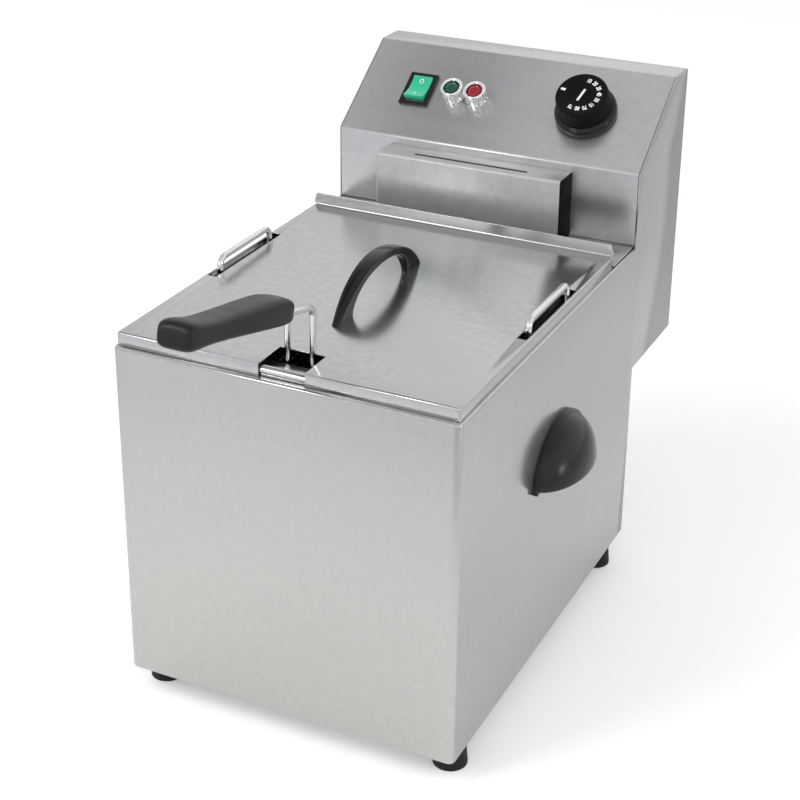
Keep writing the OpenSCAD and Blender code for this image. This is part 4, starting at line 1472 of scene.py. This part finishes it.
@dataclass
class Switch:
    """The rocker switch with its raised bezel."""

    shop: Workshop
    x: float = -79.5
    half_width: float = 13.0
    half_length: float = 17.0
    opening_x: float = 9.3
    opening_s: float = 13.5
    swing: float = math.radians(20.0)
    pivot: float = 0.9
    rocker_x: float = 8.9
    mark_s: float = 7.6
    mark_turn: float = math.radians(17.0)

    def build(self) -> None:
        """Build the bezel and the rocker with its two marks."""
        place = self.shop.slope.matrix(self.x)
        self._bezel(place)
        self._rocker(place)

    def _bezel(self, place: Matrix) -> None:
        """Shape the bezel: a rim, a well and two side cheeks that follow the rocker."""
        bezel = Bench.block("switch_bezel",
                            Vector((-self.half_width, -self.half_length, -20)) * MM,
                            Vector((self.half_width, self.half_length, 2.4)) * MM)
        well = Bench.block("well_cutter", Vector((-self.opening_x, -self.opening_s, -9)) * MM,
                           Vector((self.opening_x, self.opening_s, 6)) * MM)
        Bench.cut(bezel, well)
        with Edit(bezel) as edit:
            edit.choose(lambda v: v.co.z < -0.019)
            edit.stretch((0.82, 0.86, 1.0), (0, 0, -0.02))
        Bench.ease(bezel, 0.6, 3, 50)
        Bench.settle(bezel, place)
        self.shop.fit(bezel, "head", "switch_black", ["switch_housing"])

    def _rocker(self, place: Matrix) -> None:
        """Shape the rocker as a shallow saddle, tilted to its off side."""
        outline = [(-12.6, 4.6), (-9.5, 3.3), (-6.3, 2.4), (-3.0, 1.9), (0.0, 1.7), (3.0, 1.9),
                   (6.3, 2.4), (9.5, 3.3), (12.6, 4.6), (12.0, 0.0), (7.0, -5.0), (-7.0, -5.0),
                   (-12.0, 0.0)]
        rocker = Bench.prism("switch_rocker_moulding",
                             [Vector((-self.rocker_x, s, h)) * MM for s, h in outline],
                             Vector((2 * self.rocker_x, 0, 0)) * MM)
        Bench.ease(rocker, 0.5, 3, 40)
        tilted = (place @ Matrix.Translation((0, 0, self.pivot * MM))
                  @ Matrix.Rotation(-self.swing / 2, 4, "X"))
        Bench.settle(rocker, tilted)
        self.shop.fit(rocker, "rocker", "rocker_green", ["switch_rocker"], smooth=30)
        self._rocker_marks(tilted)

    def _rocker_marks(self, tilted: Matrix) -> None:
        """Lay a ring near the rocker's top and a bar near its foot."""
        Bench.clear()
        bpy.ops.mesh.primitive_torus_add(major_segments=28, minor_segments=8,
                                         major_radius=1.9 * MM, minor_radius=0.38 * MM)
        ring = Bench.named("switch_off_mark")
        ring.scale = (0.82, 1.15, 0.5)
        Bench.settle(ring)
        Bench.settle(ring, tilted @ Matrix.Translation((0, self.mark_s * MM, 2.75 * MM))
                     @ Matrix.Rotation(self.mark_turn, 4, "X"))
        self.shop.fit(ring, "rocker", "rocker_green", finish="dial_white", smooth=60)
        bar = Bench.block("switch_on_mark", Vector((-0.4, -2.2, -0.2)) * MM,
                          Vector((0.4, 2.2, 0.2)) * MM)
        Bench.ease(bar, 0.15, 2, 50)
        Bench.settle(bar, tilted @ Matrix.Translation((0, -self.mark_s * MM, 2.8 * MM))
                     @ Matrix.Rotation(-self.mark_turn, 4, "X"))
        self.shop.fit(bar, "rocker", "rocker_green", finish="dial_white")


class Signal(Enum):
    """The two signal lamps, by where they stand across the fryer."""

    GREEN = -46.6
    RED = -25.6


@dataclass
class Lamp:
    """A signal lamp: a fluted bright bezel round a cut lens."""

    shop: Workshop
    signal: Signal
    radius: float = 10.0
    flutes: int = 12

    def build(self) -> None:
        """Build the bezel and the lens."""
        colour = self.signal.name.lower()
        place = self.shop.slope.matrix(self.signal.value)
        outline = [(4.5, -16), (6.0, -16), (6.0, 0.0), (9.2, 0.0), (9.2, 1.2), (9.2, 7.6),
                   (9.5, 8.6), (self.radius, 9.4), (self.radius, 10.8), (9.6, 11.8),
                   (8.7, 12.4), (7.6, 12.0), (6.9, 11.0), (6.6, 9.6), (6.6, 7.0), (4.5, 7.0),
                   (4.5, -16)]
        bezel = Bench.lathe("lamp_bezel_ring_" + colour, outline, self.flutes * 6)
        with Edit(bezel) as edit:
            edit.choose(lambda v: 0.5 * MM < v.co.z < 8.0 * MM and v.co.xy.length > 9.0 * MM
                        and self._in_flute(v.co))
            edit.stretch((0.84, 0.84, 1.0), (0, 0, 0))
        Bench.settle(bezel, place)
        self.shop.fit(bezel, "head", "lamp_chrome", ["lamp_bezel_" + colour], smooth=40)
        cut = [(0.0, -12.0), (4.4, -12.0), (4.4, 7.0), (6.4, 7.0), (6.4, 9.2), (5.4, 10.6),
               (3.9, 11.4), (2.0, 11.9), (0.0, 12.0)]
        lens = Bench.lathe("lamp_lens_cut_" + colour, cut, 12)
        Bench.ease(lens, 0.12, 1, 8)
        Bench.settle(lens, place)
        self.shop.fit(lens, "head", "lens_" + colour, ["lamp_lens_" + colour], smooth=5)

    def _in_flute(self, place: Vector) -> bool:
        """Whether a place round the bezel is in the hollow of a flute."""
        return 0.17 < rib_share(place, self.flutes) < 0.68


@dataclass
class Knob:
    """The thermostat knob with its skirt, cap and generic scale."""

    shop: Workshop
    x: float = 72.9
    face: float = 26.5
    numbers: int = 9
    ribs: int = 48

    def build(self) -> None:
        """Build the skirt, the ribbed cap and the marks on its face."""
        place = self.shop.slope.matrix(self.x)
        skirt = Bench.lathe("knob_skirt", [(4.0, 2.0), (25.2, 2.0), (25.7, 2.4), (26.0, 3.2),
                                           (26.0, 6.6), (25.7, 8.2), (24.9, 9.3), (24.0, 9.8),
                                           (23.4, 9.9), (23.0, 10.3), (4.0, 10.3), (4.0, 2.0)],
                            96)
        Bench.settle(skirt, place)
        self.shop.fit(skirt, "thermostat_knob", "knob_plastic", ["knob"], smooth=40)
        cap = Bench.lathe("knob_cap", [(3.2, 10.1), (22.5, 10.1), (22.9, 10.7), (22.8, 12.4),
                                       (22.0, 24.2), (21.7, 25.8), (21.2, 26.6), (20.5, 27.0),
                                       (19.4, 26.9), (18.8, 26.5), (0.0, 26.5), (0.0, 10.1),
                                       (3.2, 10.1)], self.ribs * 4)
        with Edit(cap) as edit:
            edit.choose(lambda v: 12.0 * MM < v.co.z < 25.0 * MM and v.co.xy.length > 21.0 * MM
                        and rib_share(v.co, self.ribs) < 0.45)
            edit.stretch((0.978, 0.978, 1.0), (0, 0, 0))
        Bench.settle(cap, place)
        self.shop.fit(cap, "thermostat_knob", "knob_plastic", finish="knob_cap", smooth=40)
        self._marks(place)

    def _bar(self, name: str, length: float, width: float, radius: float,
             angle: float) -> bpy.types.Object:
        """A short raised white bar on the face, pointing outward at an angle."""
        bar = Bench.block(name, Vector((-width / 2, -length / 2, -0.1)) * MM,
                          Vector((width / 2, length / 2, 0.14)) * MM)
        Bench.ease(bar, 0.06, 1, 50)
        turn = Matrix.Rotation(-angle, 4, "Z")
        return Bench.settle(bar, turn @ Matrix.Translation((0, radius * MM, self.face * MM)))

    def _number(self, value: int, angle: float) -> bpy.types.Object:
        """A number of the scale, read from the rim."""
        Bench.clear()
        bpy.ops.object.text_add(location=(0, 0, 0))
        text = bpy.context.object
        text.data.body = "%02d" % value
        text.data.size = 5.4 * MM
        text.data.offset = 0.16 * MM
        text.data.extrude = 0.1 * MM
        text.data.align_x = "CENTER"
        text.data.align_y = "CENTER"
        Bench.pick(text)
        bpy.ops.object.convert(target="MESH")
        mark = Bench.named("knob_number_%d" % value)
        turn = Matrix.Rotation(-angle, 4, "Z")
        narrow = Matrix.Diagonal((0.72, 1.0, 1.0, 1.0))
        return Bench.settle(mark, turn @ Matrix.Translation((0, 14.4 * MM, 26.6 * MM)) @ narrow)

    def _marks(self, place: Matrix) -> None:
        """Lay out the pointer, the off tick and the numbers round the right of the face."""
        marks = [self._bar("knob_pointer", 12.5, 2.0, -0.5, math.radians(14)),
                 self._bar("knob_off_tick", 4.4, 2.2, 17.0, math.radians(-80))]
        for i in range(self.numbers):
            marks.append(self._number(10 * (i + 1), math.radians(8 + 24.0 * i)))
        face = Bench.join(marks, "knob_scale")
        Bench.settle(face, place)
        self.shop.fit(face, "thermostat_knob", "knob_plastic", finish="dial_white")


@dataclass
class Tank:
    """The lift-out oil tank with its flange and its two wire handles."""

    shop: Workshop
    half_width: float = 116.0
    front: float = 26.0
    back: float = 339.0
    low: float = 139.0
    rim: float = 291.0
    flange: float = 130.0
    corner: float = 21.0
    wire: float = 2.5
    lip: float = 115.0
    lip_depth: float = 9.0
    lip_height: float = 293.8
    lip_radius: float = 3.45

    def build(self) -> None:
        """Build the tank and its handles."""
        at = self.shop.datum.at
        tank = Bench.block("oil_tank_pressing", at(-self.half_width, self.front, self.low),
                           at(self.half_width, self.back, self.rim))
        with Edit(tank, "EDGE") as edit:
            edit.choose(lambda e: near(e.verts[0].co.x, e.verts[1].co.x)
                        and near(e.verts[0].co.y, e.verts[1].co.y))
            bpy.ops.mesh.bevel(offset=self.corner * MM, segments=8, affect="EDGES")
            edit.choose(lambda e: near(middle(e).z, self.low * MM))
            bpy.ops.mesh.bevel(offset=8 * MM, segments=5, affect="EDGES")
            edit.switch("FACE")
            edit.choose(lambda f: f.normal.z > 0.9 and middle(f).z > (self.rim - 1) * MM)
            bpy.ops.mesh.delete(type="ONLY_FACE")
            edit.switch("EDGE")
            edit.choose(lambda e: e.is_boundary)
            edit.extrude((0, 0, 0))
            centre = at(0, (self.front + self.back) / 2, self.rim)
            edit.stretch((self.flange / self.half_width, 338.0 / 313.0, 1), centre)
            edit.slide((0, -5.5 * MM, 0))
        Bench.face_towards(tank, Vector((0, 0, -1)))
        Bench.thicken(tank, 1.0)
        lip = Bench.tube("oil_tank_lip", [at(-self.lip, self.lip_depth, self.lip_height),
                                          at(self.lip, self.lip_depth, self.lip_height)],
                         self.lip_radius, 1.0, 24)
        skirt = Bench.block("oil_tank_skirt", at(-self.lip, 6.0, 290.3),
                            at(self.lip, 8.6, 293.4))
        tank = Bench.join([tank, lip, skirt], "oil_tank_pressing")
        Bench.ease(tank, 0.25, 2, 60)
        self.shop.fit(tank, "tank", "tank_steel", ["oil_tank"])
        for side, x in (("left", -127.0), ("right", 127.0)):
            path = [at(x, 134.5, 291), at(x, 134.5, 309.5), at(x, 209.5, 309.5),
                    at(x, 209.5, 291)]
            bail = Bench.tube("tank_bail_" + side, path, self.wire, 7.0, 18)
            self.shop.fit(bail, "tank", "wire_chrome", ["tank_handle_" + side], smooth=50)


@dataclass
class Feet:
    """Four tapered rubber feet."""

    shop: Workshop
    places: tuple[tuple[float, float], ...] = ((-121, 28), (121, 28), (-121, 332), (121, 332))

    def build(self) -> None:
        """Turn one foot and copy it."""
        outline = [(5.8, 0.0), (12.2, 0.0), (12.9, 0.5), (13.0, 1.4), (12.6, 5.0), (11.6, 16.5),
                   (11.2, 19.4), (10.6, 20.0), (2.6, 20.0), (2.6, 6.5), (5.8, 6.0), (5.8, 0.0)]
        first = Bench.lathe("rubber_foot", outline, 48)
        feet = [Bench.copy(first, "rubber_foot_%d" % i,
                           Matrix.Translation(self.shop.datum.at(x, y, 0)))
                for i, (x, y) in enumerate(self.places)]
        bpy.data.objects.remove(first)
        self.shop.fit(Bench.join(feet, "rubber_feet"), "casing", "foot_rubber", ["feet"],
                      smooth=40)


@dataclass
class Gland:
    """The cable gland on the back of the head: a ribbed dome nut with its bore left open."""

    shop: Workshop
    x: float = -70.0
    back: float = 459.0
    height: float = 211.0
    bore: float = 4.2
    reach: float = 16.0
    flats: int = 18

    def build(self) -> None:
        """Turn the body and the nut, and cut the nut's flats."""
        outline = [(self.bore, -11.2), (8.0, -11.2), (8.0, -7.2), (11.0, -7.2), (11.0, -1.2),
                   (8.0, -1.2), (8.0, 0.0), (11.6, 0.0), (11.6, 4.6), (11.0, 5.2), (9.8, 5.4),
                   (9.8, 6.2), (10.4, 6.4), (10.4, 12.0), (9.2, 14.6), (7.4, 15.7),
                   (self.bore + 0.6, self.reach), (self.bore, 15.4), (self.bore, -11.2)]
        gland = Bench.lathe("cable_gland_moulding", outline, 72)
        with Edit(gland) as edit:
            edit.choose(lambda v: 6.3 * MM < v.co.z < 12.5 * MM and v.co.xy.length > 10 * MM
                        and rib_share(v.co, self.flats) < 0.5)
            edit.stretch((0.93, 0.93, 1.0), (0, 0, 0))
        turn = Matrix.Rotation(math.radians(-90), 4, "X")
        place = Matrix.Translation(self.shop.datum.at(self.x, self.back, self.height))
        Bench.settle(gland, place @ turn)
        self.shop.fit(gland, "head", "gland_nylon", ["cable_gland"], smooth=40)


@dataclass
class CarriedOver:
    """Nodes whose shape is already right: some get eased edges, and all get a finish."""

    shop: Workshop
    eased: tuple[tuple[str, str, str], ...] = (
        ("rear_panel", "casing", "panel_steel"), ("base_plate", "casing", "panel_steel"),
        ("control_box", "head", "panel_steel"), ("rear_deck", "head", "casing_steel"),
        ("contactor", "head", "pale_plastic"), ("terminal_block", "head", "pale_plastic"),
        ("terminal_plate", "head", "panel_steel"), ("thermostat_body", "head", "dark_plastic"),
        ("limit_thermostat", "head", "dark_plastic"), ("reset_button", "reset", "reset_red"),
        ("element_straps", "head", "wire_chrome"), ("element_guard", "head", "wire_chrome"))
    kept: tuple[tuple[str, str], ...] = (
        ("foot_screws", "screw_steel"), ("rear_panel_screws", "screw_steel"),
        ("side_handle_screws", "screw_steel"), ("control_box_screws", "screw_steel"),
        ("lid_handle_screws", "screw_steel"), ("thermostat_shaft", "screw_steel"),
        ("heating_element", "element_sheath"), ("element_terminals", "terminal_brass"),
        ("bulb_clips", "wire_chrome"), ("thermostat_bulb", "bulb_copper"),
        ("limit_bulb", "bulb_copper"))

    def build(self) -> None:
        """Ease and dress the nodes."""
        for name, body, slot in self.eased:
            piece = Bench.copied_node(self.shop.node(name), name + "_eased")
            Bench.ease(piece, 0.3, 2, 60)
            self.shop.fit(piece, body, slot, [name])
        for name, finish in self.kept:
            node = self.shop.node(name)
            for index in range(len(node.material_slots)):
                node.material_slots[index].material = self.shop.materials[finish]
            LOG.info("%s keeps its shape", name)


# ---------------------------------------------------------------- studio


@dataclass(frozen=True)
class SoftLight:
    """A square soft light aimed at the fryer: metres and watts."""

    name: str
    place: tuple[float, float, float]
    size: float
    power: float
    mirrored: bool


LIGHTS: tuple[SoftLight, ...] = (
    SoftLight("key_light", (-1.6, -1.4, 2.2), 1.8, 34.0, False),
    SoftLight("fill_light", (2.2, -0.6, 1.6), 1.6, 12.0, False),
    SoftLight("glint_front", (-0.77, -1.5, 0.96), 0.40, 4.5, True),
    SoftLight("glint_side", (1.9, 0.0, 0.30), 0.30, 1.6, True),
)


@dataclass
class Studio:
    """A pale floor, soft light and the camera."""

    datum: Datum
    camera_x: float = 0.52984
    camera_gap: float = 0.91327
    camera_height: float = 0.80948
    heading: float = math.radians(25.6824)
    tilt: float = math.radians(66.5524)
    roll: float = math.radians(0.5334)
    lens: float = 78.128
    shift: float = -0.125

    def build(self) -> None:
        """Set the studio up."""
        bpy.context.scene.view_settings.view_transform = "Standard"
        self._floor()
        self._surroundings()
        self._lights()
        self._camera()

    def _floor(self) -> None:
        """Lay a large pale floor with a faint variation; to the camera it is evenly pale with a
        little glow, and in reflections and bounced light it is painted darker further out, a
        painted shade for the dimmer surroundings that the steel reflects.
        """
        Bench.clear()
        bpy.ops.mesh.primitive_plane_add(size=1.0, location=(0, 0, 0))
        floor = Bench.named("studio_floor")
        floor.scale = (40, 40, 1)
        Bench.settle(floor)
        material = bpy.data.materials.new("studio_floor_paint")
        material.use_nodes = True
        wiring = Wiring(material.node_tree)
        place = wiring.node("ShaderNodeTexCoord").outputs["Object"]
        cloud = wiring.node("ShaderNodeTexNoise", {"Vector": place, "Scale": 2.0}).outputs["Fac"]
        reach = wiring.node("ShaderNodeVectorMath", {0: place}, operation="LENGTH")
        far = wiring.spread(reach.outputs["Value"], 0.34, 0.95)
        near_by = wiring.blend(cloud, opaque((0.93, 0.925, 0.90)), opaque((0.95, 0.945, 0.925)))
        # painted shade: for all but camera rays the floor is painted darker away from the fryer,
        # so the steel reflects dimmer surroundings
        painted_far_shade = wiring.blend(far, near_by, opaque((0.62, 0.63, 0.65)))
        seen = wiring.node("ShaderNodeLightPath").outputs["Is Camera Ray"]
        pale = wiring.blend(seen, painted_far_shade, opaque((0.95, 0.95, 0.95)))
        shader = material.node_tree.nodes["Principled BSDF"]
        wiring.tree.links.new(pale, shader.inputs["Base Color"])
        wiring.tree.links.new(wiring.sum("MULTIPLY", seen, 0.16),
                              shader.inputs["Emission Strength"])
        shader.inputs["Emission Color"].default_value = (1.0, 1.0, 1.0, 1.0)
        shader.inputs["Roughness"].default_value = 0.9
        shader.inputs["Specular IOR Level"].default_value = 0.1
        floor.data.materials.append(material)

    def _surroundings(self) -> None:
        """Light the scene from all round: bright at eye level and dimmer overhead."""
        world = bpy.data.worlds.new("studio_surroundings")
        world.use_nodes = True
        bpy.context.scene.world = world
        wiring = Wiring(world.node_tree)
        heading = wiring.node("ShaderNodeTexCoord").outputs["Generated"]
        parts = wiring.node("ShaderNodeSeparateXYZ", {0: heading}).outputs
        ceiling = wiring.spread(parts["Z"], 0.60, 0.86)
        across = wiring.spread(parts["X"], -0.46, -0.30, 0.26, 0.72)
        side = wiring.spread(parts["X"], -0.60, -0.30, 0.78, 0.96)
        dimmed = wiring.sum("SUBTRACT", 1.0, wiring.sum(
            "MULTIPLY", ceiling, wiring.sum("SUBTRACT", 1.0, across)))
        strength = wiring.sum("MULTIPLY", dimmed, side)
        background = world.node_tree.nodes["Background"]
        background.inputs["Color"].default_value = (0.985, 0.99, 1.0, 1.0)
        wiring.tree.links.new(strength, background.inputs["Strength"])

    def _lights(self) -> None:
        """Hang the soft lights; only the glints show in the steel."""
        for soft in LIGHTS:
            Bench.clear()
            bpy.ops.object.light_add(type="AREA", location=soft.place)
            light = bpy.context.object
            light.name = soft.name
            light.data.size = soft.size
            light.data.energy = soft.power
            aim = Vector((0.0, 0.0, 0.2)) - Vector(soft.place)
            light.rotation_euler = aim.to_track_quat("-Z", "Y").to_euler()
            light.visible_glossy = soft.mirrored

    def _camera(self) -> None:
        """Stand the camera in front, to the right and above."""
        Bench.clear()
        bpy.ops.object.camera_add(location=(self.camera_x, self.datum.front - self.camera_gap,
                                            self.camera_height))
        camera = bpy.context.object
        camera.name = "studio_camera"
        turn = (Matrix.Rotation(self.heading, 3, "Z") @ Matrix.Rotation(self.tilt, 3, "X")
                @ Matrix.Rotation(self.roll, 3, "Z"))
        camera.rotation_euler = turn.to_euler()
        camera.data.sensor_width = 36.0
        camera.data.lens = self.lens
        camera.data.shift_x = 0.0
        camera.data.shift_y = self.shift
        camera.data.clip_start = 0.01
        bpy.context.scene.camera = camera


def main() -> None:
    """Build the fryer's visual model in order."""
    logging.basicConfig(level=logging.INFO, format="%(name)s: %(message)s")
    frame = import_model()
    Bench.clear()
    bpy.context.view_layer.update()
    datum = Datum(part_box("casing_shell")[0].y)
    studio = Studio(datum)
    studio.build()
    effects = Effects()
    materials = {finish.name: finish.build(effects) for finish in FINISHES}
    shop = Workshop(frame, datum, Slope(datum), materials)
    parts = [Casing(shop), Feet(shop), SideHandle(shop, -1, "side_handle_left"),
             SideHandle(shop, 1, "side_handle_right"), Tank(shop), ControlHead(shop),
             Switch(shop), Lamp(shop, Signal.GREEN), Lamp(shop, Signal.RED), Knob(shop),
             Gland(shop), Basket(shop), Lid(shop), CarriedOver(shop)]
    for part in parts:
        part.build()
        LOG.info("%s is done", type(part).__name__)


if __name__ == "__main__":
    main()
